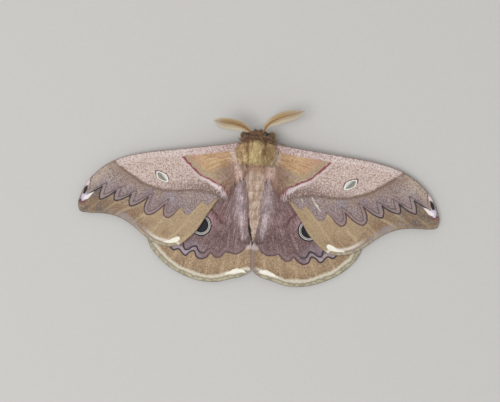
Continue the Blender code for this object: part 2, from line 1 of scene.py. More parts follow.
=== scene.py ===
# The giant silk moth's looks: wings with their markings, furred body, glossy eyes and feathered feelers.
# Sizes are in millimetres: +X to the moth's right, +Y to its head, +Z up, and the floor is z = 0.
import math
import bmesh
import bpy
import numpy as np
from mathutils import Matrix, Vector, geometry


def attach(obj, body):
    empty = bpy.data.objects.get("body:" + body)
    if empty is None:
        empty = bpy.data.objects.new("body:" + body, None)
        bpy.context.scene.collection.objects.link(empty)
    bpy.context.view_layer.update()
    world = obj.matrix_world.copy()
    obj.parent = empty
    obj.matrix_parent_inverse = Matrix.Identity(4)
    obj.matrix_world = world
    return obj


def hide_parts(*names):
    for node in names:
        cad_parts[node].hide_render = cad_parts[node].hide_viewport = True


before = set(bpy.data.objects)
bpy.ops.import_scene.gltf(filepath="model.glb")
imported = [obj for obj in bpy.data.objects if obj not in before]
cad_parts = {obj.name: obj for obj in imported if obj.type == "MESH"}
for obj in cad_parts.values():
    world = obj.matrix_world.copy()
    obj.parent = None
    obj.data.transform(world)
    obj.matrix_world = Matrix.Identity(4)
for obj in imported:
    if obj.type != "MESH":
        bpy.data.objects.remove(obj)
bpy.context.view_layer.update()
mm = 0.001
sideSigns = {"left": -1, "right": 1}


# Curves, distances and meshes

def hermite(t, ends, slopes, length=1.0):
    # a smooth curve between two ends that leaves and arrives with these slopes, for t from 0 to 1
    return (
        (2 * t**3 - 3 * t**2 + 1) * ends[0] + (t**3 - 2 * t**2 + t) * length * slopes[0]
        + (3 * t**2 - 2 * t**3) * ends[1] + (t**3 - t**2) * length * slopes[1]
    )


def smoothPath(points, step):
    # points about a step apart on a smooth curve through the given ones
    knots = np.array(points, float)
    spans = np.linalg.norm(np.diff(knots, axis=0), axis=1)
    at = np.concatenate([[0.0], np.cumsum(spans)])
    slopes = np.tile((knots[1] - knots[0]) / at[1], (2, 1))
    if len(knots) > 2:
        slopes = np.gradient(knots, at, axis=0)
    wanted = np.linspace(0.0, at[-1], max(2, int(round(at[-1] / step)) + 1))
    index = np.clip(np.searchsorted(at, wanted, side="right") - 1, 0, len(spans) - 1)
    t = ((wanted - at[index]) / spans[index])[:, None]
    ends, slopes = [(values[index], values[index + 1]) for values in (knots, slopes)]
    return hermite(t, ends, slopes, spans[index][:, None])


def distanceTo(points, line):
    # how far each point is from a polyline, and where along it the nearest place is, from 0 to 1
    best = np.full(len(points), 1e9)
    where = np.zeros(len(points))
    for i in range(len(line) - 1):
        edge = line[i + 1] - line[i]
        t = np.clip(((points - line[i]) @ edge) / max(edge @ edge, 1e-12), 0, 1)
        away = np.linalg.norm(points - (line[i] + t[:, None] * edge), axis=1)
        closer = away < best
        best[closer] = away[closer]
        where[closer] = (i + t[closer]) / (len(line) - 1)
    return best, where


def insideOf(points, outline):
    within = np.zeros(len(points), bool)
    x, y = points[:, 0], points[:, 1]
    for (x0, y0), (x1, y1) in zip(outline, np.roll(outline, -1, axis=0)):
        if y0 == y1:
            continue
        within ^= ((y0 > y) != (y1 > y)) & (x < (x1 - x0) * (y - y0) / (y1 - y0) + x0)
    return within


def signedDistance(points, line, corners):
    # positive on the side of the line that its closing corners shut in
    away, _ = distanceTo(points, line)
    return np.where(insideOf(points, np.vstack([line, corners])), away, -away)


def easeStep(x, low, high):
    t = np.clip((x - low) / (high - low), 0, 1)
    return t * t * (3 - 2 * t)


def wave(points, scale, seed, count=5):
    # a smooth, repeatable unevenness between about -1 and 1, from a few crossing sine waves
    draw = np.random.default_rng(seed)
    total = np.zeros(len(points))
    for _ in range(count):
        heading = draw.normal(size=points.shape[1])
        heading *= draw.uniform(0.6, 1.6) / (np.linalg.norm(heading) * scale)
        total += np.sin(points @ heading * 2 * math.pi + draw.uniform(0, 6.3))
    return total / count * 1.4


def closed(outline):
    # an outline as a line that ends where it starts
    return np.vstack([outline, outline[:1]])


def placed(name, data):
    # a new object in the scene
    made = bpy.data.objects.new(name, data)
    bpy.context.scene.collection.objects.link(made)
    return made


def meshPiece(name, points, faces):
    mesh = bpy.data.meshes.new(name)
    mesh.from_pydata((np.asarray(points, float) * mm).tolist(), [], [list(map(int, f)) for f in faces])
    mesh.update()
    mesh.shade_smooth()
    return placed(name, mesh)


def evaluatedMesh(piece):
    # a piece's mesh with its modifiers worked out
    return bpy.data.meshes.new_from_object(piece.evaluated_get(bpy.context.evaluated_depsgraph_get()))


def turnOutwards(mesh):
    work = bmesh.new()
    work.from_mesh(mesh)
    bmesh.ops.recalc_face_normals(work, faces=work.faces)
    if work.calc_volume(signed=True) < 0:
        bmesh.ops.reverse_faces(work, faces=work.faces)
    work.to_mesh(mesh)
    work.free()


def readAll(items, name, kind=float, size=1):
    # one property of all of a mesh's points, corners or faces
    values = np.empty(len(items) * size, kind)
    items.foreach_get(name, values)
    return values


def placesOf(mesh):
    return readAll(mesh.vertices, "co", size=3).reshape(-1, 3) / mm


def store(mesh, name, values, kind="FLOAT_VECTOR", domain="POINT"):
    # a named attribute on a mesh's points or corners
    layer = mesh.attributes.new(name, kind, domain)
    field = "value" if kind == "FLOAT" else "vector"
    layer.data.foreach_set(field, np.ascontiguousarray(values, np.float32).ravel())


def storeFloats(mesh, **values):
    for name, value in values.items():
        store(mesh, name, value, "FLOAT")


# Shader maths and nodes

class Amount:
    # a number that changes over a surface; sums on it become Math nodes
    def __init__(self, paint, socket):
        self.paint, self.socket = paint, socket

    def maths(self, operation, *terms):
        settings = {"operation": operation}
        return Amount(self.paint, self.paint.out("ShaderNodeMath", settings, dict(enumerate(terms))))

    def __add__(self, other):
        return self.maths("ADD", self, other)

    def __sub__(self, other):
        return self.maths("SUBTRACT", self, other)

    def __rsub__(self, other):
        return self.maths("SUBTRACT", other, self)

    def __mul__(self, other):
        return self.maths("MULTIPLY", self, other)

    def __truediv__(self, other):
        return self.maths("DIVIDE", self, other)

    def __neg__(self):
        return self.maths("MULTIPLY", self, -1.0)

    def __abs__(self):
        return self.maths("ABSOLUTE", self)

    __radd__ = __add__
    __rmul__ = __mul__

    def power(self, exponent):
        return self.maths("POWER", self, exponent)

    def atLeast(self, other):
        return self.maths("MAXIMUM", self, other)

    def atMost(self, other):
        return self.maths("MINIMUM", self, other)

    def rise(self, low, high):
        # 0 below low, 1 above high, smooth between; the other way round where low is the larger
        settings = {"interpolation_type": "SMOOTHSTEP"}
        flip = low > high
        values = {"Value": self, "From Min": min(low, high), "From Max": max(low, high)}
        values.update({"To Min": 1.0 if flip else 0.0, "To Max": 0.0 if flip else 1.0})
        return Amount(self.paint, self.paint.out("ShaderNodeMapRange", settings, values))

    def line(self, width, soft=0.12):
        # 1 within half a width of zero
        return abs(self).rise(width / 2 + soft, max(width / 2 - soft, 0.0))


class NodeTree:
    # a tree of shader or geometry nodes, all of them made by one method
    def node(self, kind, settings=None, values=None):
        made = self.tree.nodes.new(kind)
        for key, value in (settings or {}).items():
            setattr(made, key, value)
        for key, value in (values or {}).items():
            self.feed(made.inputs[key] if isinstance(key, int) else self.open(made.inputs, key), value)
        return made

    def feed(self, socket, value):
        if isinstance(value, Amount):
            value = value.socket
        if isinstance(value, bpy.types.NodeSocket):
            self.tree.links.new(value, socket)
        else:
            socket.default_value = value

    def open(self, sockets, name=None):
        # the first socket that the node's settings have switched on, or the first of that name
        return next(s for s in sockets if s.enabled and name in (None, s.name))

    def out(self, kind, settings=None, values=None, name=None):
        return self.open(self.node(kind, settings, values).outputs, name)


class Paint(NodeTree):
    # one material, with the few kinds of node that it needs
    def __init__(self, name, roughness=0.8, **constants):
        self.material = bpy.data.materials.new(name)
        self.material.use_nodes = True
        self.tree = self.material.node_tree
        self.shader = self.tree.nodes["Principled BSDF"]
        for socket, value in {"Roughness": roughness, **constants}.items():
            self.shader.inputs[socket].default_value = value

    def attribute(self, name):
        return Amount(self, self.out("ShaderNodeAttribute", {"attribute_name": name}, name="Fac"))

    def parts(self, name):
        # the three numbers of a vector attribute
        split = self.node("ShaderNodeSeparateXYZ", None, {0: self.vector(name)})
        return [Amount(self, out) for out in split.outputs]

    def vector(self, name):
        return self.out("ShaderNodeAttribute", {"attribute_name": name}, name="Vector")

    def place(self, stretch=(1.0, 1.0, 1.0)):
        return self.out("ShaderNodeMapping", None, {
            "Vector": self.out("ShaderNodeTexCoord", name="Object"), "Scale": [s / mm for s in stretch],
        })

    def noise(self, size, vector=None, detail=2.0, rough=0.5):
        # a cloudy pattern with lumps about size mm across, near 0.5 on average
        values = {"Vector": vector or self.place(), "Scale": 1 / size, "Detail": detail, "Roughness": rough}
        return Amount(self, self.out("ShaderNodeTexNoise", None, values, "Fac"))

    def tone(self, *screen):
        # a colour as a screen shows it, 0 to 255, as the linear light that a shader wants
        shares = [c / 255 for c in screen]
        return (*[((c + 0.055) / 1.055) ** 2.4 if c > 0.0404 else c / 12.92 for c in shares], 1.0)

    def mix(self, under, over, share, kind="MIX"):
        settings = {"data_type": "RGBA", "blend_type": kind}
        under, over = [self.tone(*c) if isinstance(c, tuple) and len(c) == 3 else c for c in (under, over)]
        return self.out("ShaderNodeMix", settings, {0: share, 6: under, 7: over})

    def layers(self, colour, *coats):
        # colours laid over one another, each with the share that it hides of those below
        for over, share in coats:
            colour = self.mix(colour, over, share)
        return colour

    def shade(self, colour, amount):
        # darkens or lightens a colour; amount 1 leaves it
        grey = self.out("ShaderNodeCombineColor", None, {0: amount, 1: amount, 2: amount})
        return self.mix(colour, grey, 1.0, "MULTIPLY")

    def speckled(self, colour, dots, dark, light, share=1.0):
        # dark and light scales strewn over a colour
        return self.layers(
            colour,
            (dark, dots.rise(0.51, 0.62) * (0.8 * share)),
            (light, dots.rise(0.48, 0.37) * (0.65 * share)),
        )

    def finish(self, colour, height=None, depth=0.05):
        self.feed(self.shader.inputs["Base Color"], colour)
        if height is not None:
            values = {"Strength": 1.0, "Distance": depth * mm, "Height": height}
            self.feed(self.shader.inputs["Normal"], self.out("ShaderNodeBump", None, values))
        return self.material


# Wings: plan outlines of the right pair, from the leading edge's root round the tip to the inner edge

slope = {"start": 6.0, "reach": 18.0}

foreWing = {
    "outline": (
        (3.3, 19.3), (12.2, 18.0), (21.5, 16.8), (30.8, 15.6), (38.0, 14.6), (44.8, 13.2), (49.6, 11.6),
        (54.2, 9.1), (58.0, 6.0), (60.9, 2.5), (62.8, -1.3), (63.8, -5.4), (63.0, -7.6), (60.3, -8.1),
        (54.8, -8.1), (50.2, -8.7), (46.5, -10.1), (42.9, -12.3), (39.3, -15.1), (35.7, -17.4), (30.0, -18.7),
        (26.2, -18.0), (23.1, -15.7), (19.9, -12.4), (15.8, -5.9), (11.9, -0.5), (9.0, 2.9), (6.8, 6.4),
        (4.9, 8.8), (3.3, 11.4),
    ),
    "rootShift": {-1: -0.8, 1: 0.0},
    "rootCorner": (5.5, 12.0),  # the outline's points below and within this are shifted
    "apex": (63.8, -5.4),
    "rear": (28.0, -18.6),
    "veins": (
        ((5.0, 17.9), (14.0, 16.3), (26.0, 14.8), (37.0, 13.3), (44.0, 12.6)),
        ((5.0, 16.0), (14.0, 14.0), (24.0, 12.3), (34.0, 9.9), (46.0, 7.4), (57.5, 4.6)),
        ((46.0, 7.4), (54.0, 3.6), (61.4, -1.2)),
        ((34.0, 9.9), (44.0, 4.6), (53.0, -1.2), (59.8, -6.9)),
        ((34.4, 6.2), (42.0, 2.0), (49.0, -3.4), (54.4, -7.3)),
        ((31.8, 3.0), (38.0, -0.6), (44.5, -5.2), (49.2, -8.0)),
        ((27.4, 3.2), (33.0, -1.6), (39.0, -7.4), (43.6, -11.0)),
        ((21.5, 5.4), (27.0, -1.6), (33.0, -9.8), (37.6, -15.4)),
        ((5.0, 13.4), (13.0, 9.6), (21.5, 5.4), (27.4, 3.2), (31.8, 3.0)),
        ((34.0, 9.9), (34.9, 8.0), (34.4, 6.2), (31.8, 3.0)),
        ((5.0, 11.4), (12.0, 5.4), (19.0, -3.0), (25.5, -11.5), (29.8, -17.7)),
    ),
    "root": (-6.0, 19.0),  # where the wing's streaks fan out from
    "grid": 0.38,
    "thick": 0.38,
    "rounded": 0.35,  # how far in from the rim the wing has its full thickness
    "veinLift": 0.13,
    "veinWide": 0.3,
    "ripple": 0.14,
    "low": 2.1,
    "rise": 5.2,
    "tilt": 0.02,
    "level": 2.0,
    "redLine": (
        (25.6, 13.3), (23.6, 11.2), (21.6, 9.5), (18.4, 6.8), (16.6, 6.3), (14.0, 4.9), (9.3, 3.3),
        (8.4, 3.0),
    ),
    "redCorners": ((-4.0, 3.0), (-4.0, 30.0), (28.5, 30.0), (27.6, 15.0)),
    "brownLine": (
        (51.2, 11.4), (49.8, 10.2), (46.6, 8.0), (42.9, 5.6), (39.1, 3.5), (35.3, 2.3), (33.4, 1.8),
        (27.2, 1.5), (22.0, 1.9), (18.0, 1.7), (10.5, 0.5),
    ),
    "brownCorners": ((0.0, -3.0), (0.0, -50.0), (90.0, -50.0), (90.0, 25.0), (52.0, 25.0)),
    "teeth": (  # each from one notch round its tongue to the next
        ((63.4, -3.9), (61.0, -2.3), (58.8, -0.7), (54.9, 1.6)),
        ((54.9, 1.6), (55.8, -1.0), (55.75, -3.0), (53.4, -2.2), (49.8, 0.2)),
        ((49.8, 0.2), (50.5, -1.8), (50.3, -3.1), (49.2, -3.2), (47.2, -2.5), (44.1, -0.7)),
        ((44.1, -0.7), (44.9, -3.2), (44.4, -4.9), (42.2, -4.3), (37.7, -1.3)),
        ((37.7, -1.3), (39.1, -4.4), (39.1, -6.6), (38.0, -7.7), (36.4, -7.4), (34.2, -6.0), (31.6, -3.6)),
        ((31.6, -3.6), (32.2, -6.2), (31.7, -7.9), (30.6, -8.4), (29.0, -7.6), (27.2, -5.6), (25.3, -3.8)),
        ((25.3, -3.8), (25.0, -5.4), (24.2, -6.6), (22.8, -6.8), (21.2, -5.3), (19.4, -3.2), (17.6, -1.5)),
        ((17.6, -1.5), (17.2, -2.9), (16.2, -3.1), (14.4, -1.7), (12.0, -0.1), (9.4, 0.6)),
    ),
    "toothCorners": ((0.0, 0.0), (0.0, -50.0), (90.0, -50.0), (90.0, -3.9)),
    "innerTeeth": (
        (59.2, -0.4), (56.7, 1.3), (53.1, 3.1), (53.8, 1.0), (54.4, -1.3), (52.6, -0.7), (49.6, 0.7),
        (47.4, 2.0), (48.4, 0.0), (49.0, -1.9), (47.1, -1.5), (45.0, -0.6), (43.1, 0.3), (42.1, 0.9),
        (42.8, -1.6), (43.4, -3.4), (42.0, -3.2), (39.6, -1.7), (36.0, -0.1), (37.1, -2.1), (37.8, -4.7),
        (38.0, -6.1), (37.1, -6.5), (35.3, -5.6), (32.9, -3.6), (30.2, -1.6), (30.9, -3.7), (31.2, -6.0),
        (30.5, -6.9), (29.4, -6.5), (27.5, -4.9), (25.8, -3.2),
    ),
    "innerCorners": ((24.0, -1.0), (10.0, -2.0), (10.0, -60.0), (90.0, -60.0), (90.0, -0.4)),
    "lens": {"centre": (33.0, 6.0), "across": (1.4, -0.75), "along": (2.0, 1.8), "power": 1.45},
    "patches": {  # lines that hold x, y and half a width
        "violet": (((28.6, -1.4, 0.4), (31.0, -0.4, 0.9)), ((36.6, 1.4, 0.5), (37.9, 0.2, 0.7))),
        "smudge": (
            ((42.2, -11.2, 0.2), (45.4, -9.0, 0.8), (48.2, -7.6, 0.6)),
            ((50.6, -7.0, 0.3), (52.2, -6.8, 0.2)),
        ),
        "white": (((26.6, -15.7, 0.75), (27.6, -16.2, 0.85), (29.4, -16.9, 0.5), (32.0, -17.2, 0.1)),),
        "shoulder": (((10.2, 1.9, 0.5), (12.2, 3.0, 0.8), (15.0, 4.4, 0.4), (19.0, 6.6, 0.1)),),
        "pale": (((5.6, 12.8, 0.4), (5.3, 10.0, 0.8), (5.1, 7.4, 0.6)),),
        "tipBlack": (((60.5, 1.6, 0.25), (61.0, 0.4, 0.6), (61.5, -0.9, 0.5)),),
        "tipLilac": (((61.0, -0.8, 0.2), (61.6, -2.2, 0.9), (62.0, -3.4, 0.6)),),
        "tipWhite": (((57.9, -0.5, 0.05), (59.2, -1.4, 0.35), (60.6, -2.5, 0.7), (61.4, -3.0, 0.5)),),
        "tipPink": (((59.7, 4.4, 0.1), (60.1, 2.8, 0.45), (60.8, 1.6, 0.45)),),
        "tipPlum": (((60.6, -4.0, 0.05), (61.9, -4.3, 0.5), (62.6, -4.2, 0.4)),),
        "tipLine": (((58.9, 5.2, 0.12), (59.4, 3.0, 0.2), (59.5, 1.2, 0.12), (59.7, -0.4, 0.05)),),
    },
    "streaks": {
        -1: (((16.6, 0.2, -0.1), (18.0, -1.9, -0.15)), ((20.0, 1.0, -0.1), (23.2, -3.7, -0.15))),
        1: (
            ((16.4, 0.4, 0.1), (17.0, -0.6, 0.24), (17.8, -1.8, 0.02)),
            ((19.9, 1.4, 0.05), (21.0, -0.6, 0.22), (23.0, -3.4, 0.2), (23.9, -4.6, 0.0)),
        ),
    },
}

hindWing = {
    "outline": (
        (4.4, 8.8), (8.0, 9.2), (16.0, 7.4), (25.0, 1.6), (32.0, -6.2), (36.8, -12.2), (38.0, -16.2),
        (36.6, -19.7), (34.4, -22.4), (31.0, -25.4), (26.2, -28.1), (21.3, -29.9), (16.6, -30.7),
        (12.0, -30.5), (7.3, -29.1), (3.5, -28.0), (1.7, -27.0),
    ),
    "innerEdge": (  # y and x, from the rear to the root
        (-24.8, 0.0), (-21.0, 0.0), (-17.4, 0.1), (-15.0, 0.6), (-12.0, 1.2), (-8.0, 1.9), (-3.0, 2.6),
        (2.0, 3.2), (6.0, 3.7),
    ),
    "innerShift": {-1: -0.15, 1: -0.35},
    "besideBody": {-1: -0.75, 1: 0.1},
    "slit": {"wide": 1.2, "at": -11.0, "long": 4.5},  # the dark gap between the left wing and the abdomen
    "behindBody": -16.5,
    "overlap": {1: 0.5},
    "rootLift": 1.75,  # how far the wing's root stands nearer to the forewing over it
    "apex": (36.8, -12.2),
    "rear": (1.7, -27.0),
    "veins": (
        ((4.6, 7.2), (12.0, 6.4), (20.0, 2.9), (28.0, -3.6), (33.6, -10.4)),
        ((12.5, 2.0), (22.0, -2.6), (30.0, -9.2), (35.4, -15.6)),
        ((12.5, 2.0), (20.0, -4.8), (28.0, -13.0), (33.9, -20.2)),
        ((12.0, -1.4), (18.5, -8.4), (24.8, -17.0), (29.8, -24.2)),
        ((10.5, -3.6), (15.0, -11.0), (19.6, -19.6), (23.4, -27.4)),
        ((8.2, -3.0), (11.2, -11.0), (14.4, -20.0), (16.6, -29.0)),
        ((4.8, 5.6), (6.8, 1.0), (8.2, -3.0), (10.5, -3.6)),
        ((4.6, 3.6), (6.2, -5.0), (8.8, -17.0), (10.8, -28.4)),
        ((4.0, 0.0), (4.0, -8.0), (4.4, -18.0), (5.0, -26.8)),
    ),
    "root": (2.0, 16.0),
    "grid": 0.38,
    "thick": 0.38,
    "rounded": 0.35,  # how far in from the rim the wing has its full thickness
    "veinLift": 0.12,
    "veinWide": 0.3,
    "ripple": 0.16,
    "low": 0.95,
    "rise": 4.0,
    "fade": 0.7,
    "fadeLevel": 8.0,
    "fadeSpan": 38.0,
    "toothLine": (
        (36.8, -16.4), (34.0, -17.8), (31.6, -18.0), (29.6, -19.0), (28.6, -20.0), (26.4, -19.6),
        (25.0, -21.2), (24.0, -21.8), (22.4, -20.5), (21.0, -19.9), (19.9, -22.0), (18.3, -22.7),
        (16.3, -21.9), (14.6, -20.3), (13.8, -21.3), (12.2, -21.9), (10.6, -21.0), (9.3, -19.6),
        (7.8, -19.9), (5.0, -20.0), (3.0, -18.4), (1.9, -16.9), (0.0, -16.2),
    ),
    "toothCorners": ((-8.0, -16.0), (-8.0, -50.0), (60.0, -50.0), (60.0, -16.4)),
    "secondLine": (
        (36.0, -13.0), (31.0, -15.0), (28.0, -16.2), (25.0, -17.2), (24.1, -19.6), (22.9, -19.5),
        (21.9, -18.7), (20.1, -18.1), (19.2, -19.8), (17.6, -20.4), (16.0, -19.3), (14.4, -17.8),
    ),
    "redLine": (
        (17.5, -3.6), (15.1, -4.7), (12.9, -6.6), (11.7, -8.5), (9.0, -9.4), (6.5, -9.6), (4.6, -10.2),
    ),
    "eye": {"centre": {-1: (18.7, -10.5), 1: (19.5, -10.5)}, "blush": (19.1, -10.5)},
    "rings": (  # radius and colour, from the outside in
        (3.97, (16, 15, 24)), (3.46, (228, 226, 226)), (3.23, (30, 26, 30)), (2.99, (212, 204, 190)),
        (2.77, (12, 12, 18)),
    ),
    "patches": {
        "pale": ((
            (5.2, 9.0, 0.5), (4.9, 6.0, 1.0), (4.5, 2.0, 1.2), (4.5, -4.0, 1.4), (3.9, -9.0, 0.9),
            (3.2, -13.0, 0.1),
        ),),
        "tail": (((0.0, -16.6, 1.2), (1.4, -17.6, 0.6)),),
        "white": ((
            (9.4, -27.5, 0.1), (7.6, -26.9, 0.5), (5.2, -26.0, 0.8), (3.2, -26.0, 0.45), (2.0, -26.4, 0.1),
        ),),
    },
}

wingMap = {"size": (0.48, 0.97), "upper": (0.01, 0.01), "lower": (0.51, 0.01)}
wingFlow = {"angle": 36.0, "reach": 9.0, "side": 10.0}  # how the streaks' pattern is stretched


def foreHeight(x, y):
    drop = np.exp((slope["start"] - np.abs(x)) / slope["reach"])
    return foreWing["low"] + foreWing["rise"] * drop + foreWing["tilt"] * (y - foreWing["level"])


def hindHeight(x, y):
    drop = np.exp((slope["start"] - np.abs(x)) / slope["reach"])
    fade = 1 - hindWing["fade"] * (hindWing["fadeLevel"] - y) / hindWing["fadeSpan"]
    nearRoot = easeStep(y, -8.0, 0.0) * easeStep(np.abs(x), 20.0, 12.0)
    return hindWing["low"] + hindWing["rise"] * fade * drop + hindWing["rootLift"] * nearRoot


def wingPlan(outline, grid):
    # plan points and triangles that fill an outline
    low, high = outline.min(0), outline.max(0)
    rows = np.arange(low[1], high[1], grid * math.sqrt(3) / 2)
    fill = np.array([
        (x + (k % 2) * grid / 2, y) for k, y in enumerate(rows) for x in np.arange(low[0], high[0], grid)
    ])
    fill = fill[insideOf(fill, outline)]
    fill = fill[distanceTo(fill, closed(outline))[0] > grid * 0.5]
    made = geometry.delaunay_2d_cdt(
        [Vector(p) for p in np.vstack([outline, fill]).tolist()], [], [tuple(range(len(outline)))], 1, 1e-5,
    )
    return np.array([tuple(p) for p in made[0]]), np.array([tuple(f) for f in made[2]])


def edgeStretches(outline, wing):
    # the leading, outer and inner edges of a wing, as open lines
    tip, rear = [int(np.argmin(np.linalg.norm(outline - wing[end], axis=1))) for end in ("apex", "rear")]
    return {"front": outline[: tip + 1], "outer": outline[tip : rear + 1], "inner": outline[rear:]}


def nearestOf(points, lines):
    return np.min([distanceTo(points, np.array(line, float))[0] for line in lines], axis=0)


def tapered(points, marks):
    # distance from the nearest of some lines, less the half width that each has there
    best = np.full(len(points), 1e9)
    for mark in marks:
        mark = np.array(mark)
        away, where = distanceTo(points, mark[:, :2])
        best = np.minimum(best, away - np.interp(where * (len(mark) - 1), np.arange(len(mark)), mark[:, 2]))
    return best


def buildWing(name, sign, wing, height, outline, marks, furOf):
    # a closed wing whose two faces share one plan and meet in a thin rounded rim
    plan, triangles = wingPlan(outline, wing["grid"])
    toRim = distanceTo(plan, closed(outline))[0]
    toVein = nearestOf(plan, [smoothPath(vein, 0.8) for vein in wing["veins"]])
    ridge = wing["veinLift"] * np.exp(-((toVein / wing["veinWide"]) ** 2)) * easeStep(toRim, 0.2, 2.0)
    sag = -wing["ripple"] * easeStep(toVein, 0.4, 2.4) * easeStep(toRim, 0.0, 3.0)
    unevenness = 0.10 * wave(plan, 7.0, 4 + sign) * easeStep(toRim, 0.0, 4.0)
    overlap = wing.get("overlap", {}).get(sign, 0.0) * easeStep(plan[:, 0], 2.5, 0.0)
    middle = height(plan[:, 0], plan[:, 1]) + sag + unevenness + overlap
    roundness = np.sqrt(np.clip(1 - (1 - np.clip(toRim / wing["rounded"], 0, 1)) ** 2, 0.0, 1))
    half = wing["thick"] / 2 * roundness + ridge
    onRim = toRim < 1e-4
    count = len(plan)

    def both(value):
        # the upper face's values, then the lower face's, which has no points of its own on the rim
        return np.concatenate([value, value[~onRim]])

    lower = np.where(onRim, np.arange(count), count + np.cumsum(~onRim) - 1)
    flat = np.column_stack([plan[:, 0] * sign, plan[:, 1]])
    upperPoints = np.column_stack([flat, middle + half * ~onRim])
    lowerPoints = np.column_stack([flat, middle - half])[~onRim]
    faces = np.vstack([triangles[:, ::sign], lower[triangles][:, ::-sign]])
    piece = meshPiece(name, np.vstack([upperPoints, lowerPoints]), faces)
    mesh = piece.data
    values = {key: both(value) for key, value in marks(plan, outline, sign).items()}
    below = np.concatenate([np.where(onRim, 0.5, 0.0), np.ones((~onRim).sum())])
    storeFloats(mesh, below=below, vein=both(toVein), **values)
    store(mesh, "plan", both(np.column_stack([plan, middle])))
    away = plan - wing["root"]
    reach = np.linalg.norm(away, axis=1)
    angle = np.arctan2(away[:, 1], away[:, 0]) * wingFlow["angle"]
    store(mesh, "flow", both(np.column_stack([
        angle, reach / wingFlow["reach"], np.full(count, wingFlow["side"] * sign),
    ])))
    density, length, lie = furOf(plan, outline, away / reach[:, None])
    density = np.concatenate([density, np.zeros((~onRim).sum())])
    storeFloats(mesh, furDensity=density, furLength=both(length))
    store(mesh, "lie", both(np.column_stack([lie[:, 0] * sign, lie[:, 1], np.zeros(count)])))
    spread = (plan - plan.min(0)) / np.ptp(plan, axis=0) * wingMap["size"]
    faceTurns = (("upper", sign), ("lower", -sign))
    corners = [(spread + wingMap[face])[triangles[:, ::turn]] for face, turn in faceTurns]
    store(mesh, "OFBake", np.vstack(corners), "FLOAT2", "CORNER")
    print("wing", name, len(mesh.polygons), "triangles")
    return piece


def sharedMarks(plan, outline, wing):
    # distances from a wing's edges and from the patches on it
    edges = {key: distanceTo(plan, line)[0] for key, line in edgeStretches(outline, wing).items()}
    return {**edges, **{key: tapered(plan, lines) for key, lines in wing["patches"].items()}}


def foreMarks(plan, outline, sign):
    wing = foreWing
    teeth = np.vstack([smoothPath(tooth, 0.4) for tooth in wing["teeth"]])
    return {
        **sharedMarks(plan, outline, wing),
        "red": signedDistance(plan, smoothPath(wing["redLine"], 0.5), wing["redCorners"]),
        "brown": signedDistance(plan, smoothPath(wing["brownLine"], 0.5), wing["brownCorners"]),
        "tooth": signedDistance(plan, teeth, wing["toothCorners"]),
        "innerTooth": signedDistance(plan, np.array(wing["innerTeeth"]), wing["innerCorners"]),
        "streak": tapered(plan, wing["streaks"][sign]),
    }


def hindMarks(plan, outline, sign):
    wing = hindWing
    return {
        **sharedMarks(plan, outline, wing),
        "tooth": signedDistance(plan, smoothPath(wing["toothLine"], 0.4), wing["toothCorners"]),
        "second": nearestOf(plan, [smoothPath(wing["secondLine"], 0.4)]),
        "red": nearestOf(plan, [smoothPath(wing["redLine"], 0.4)]),
        "ring": np.linalg.norm(plan - wing["eye"]["centre"][sign], axis=1),
        "rolled": np.full(len(plan), sign > 0),
    }


def foreFur(plan, outline, away):
    # long hair at the wing's root and along the inner end of its rear edge
    toInner = distanceTo(plan, edgeStretches(outline, foreWing)["inner"])[0]
    rootShare = easeStep(plan[:, 0], 15.0, 7.0)
    innerShare = easeStep(toInner, 2.6, 0.6) * easeStep(plan[:, 0], 13.0, 10.0)
    density = np.clip(rootShare * 0.7 + innerShare * 1.3, 0, 1.6)
    density *= easeStep(distanceTo(plan, closed(outline))[0], 0.15, 0.6)
    lie = away * (1 - innerShare[:, None]) + np.array((-0.25, -1.0)) * innerShare[:, None]
    return density, 0.45 + 0.3 * rootShare + 1.1 * innerShare, lie


def hindFur(plan, outline, away):
    # long streaky hair over the inner half, densest beside the abdomen
    toInner = distanceTo(plan, edgeStretches(outline, hindWing)["inner"])[0]
    clothed = easeStep(plan[:, 1], -18.0, -12.0) * easeStep(plan[:, 0], 17.0, 9.0)
    beside = easeStep(toInner, 4.5, 1.0) * easeStep(plan[:, 1], -17.0, -12.0)
    length = 0.8 + 0.7 * beside - 0.35 * easeStep(plan[:, 1], -12.0, -16.0)
    return clothed * 0.5 + beside * 0.8, length, away


def foreOutline(sign):
    # the root beside the thorax differs a little between the sides
    shift = foreWing["rootShift"][sign]
    rootX, rootY = foreWing["rootCorner"]
    points = [(x + (shift if x < rootX and y < rootY else 0.0), y) for x, y in foreWing["outline"]]
    return smoothPath(points, foreWing["grid"])


def hindOutline(sign):
    # the inner edge follows the abdomen and, on the left, leaves a dark slit beside it
    slit, innerEdge = hindWing["slit"], []
    for y, x in hindWing["innerEdge"]:
        gap = slit["wide"] * (sign < 0) * math.exp(-(((y - slit["at"]) / slit["long"]) ** 2))
        beside = hindWing["besideBody"][sign] + gap
        innerEdge.append((x + (hindWing["innerShift"][sign] if y < hindWing["behindBody"] else beside), y))
    return np.vstack([smoothPath(line, hindWing["grid"]) for line in (hindWing["outline"], innerEdge)])


def buildWings():
    pieces = {}
    kinds = {
        "forewing": (foreWing, foreHeight, foreOutline, foreMarks, foreFur),
        "hindwing": (hindWing, hindHeight, hindOutline, hindMarks, hindFur),
    }
    for side, sign in sideSigns.items():
        for kind, (wing, height, outlineOf, marks, furOf) in kinds.items():
            name = kind + side.title()
            pieces[f"{kind}_{side}"] = buildWing(name, sign, wing, height, outlineOf(sign), marks, furOf)
    return pieces


# Wing scales

scaleLooks = {
    "fore": {
        "roughness": 0.7, "patch": 1.5, "strand": 0.8, "speckle": 0.35, "hair": 0.10, "level": 0.63,
        "relief": 0.7, "below": (178, 160, 146), "paleness": 0.55, "veinBelow": (136, 112, 96),
    },
    "hind": {
        "roughness": 0.72, "patch": 1.4, "strand": 0.6, "speckle": 0.3, "hair": 0.16, "level": 0.62,
        "relief": 0.9, "below": (176, 156, 144), "paleness": 0.5, "veinBelow": (136, 112, 98),
    },
}


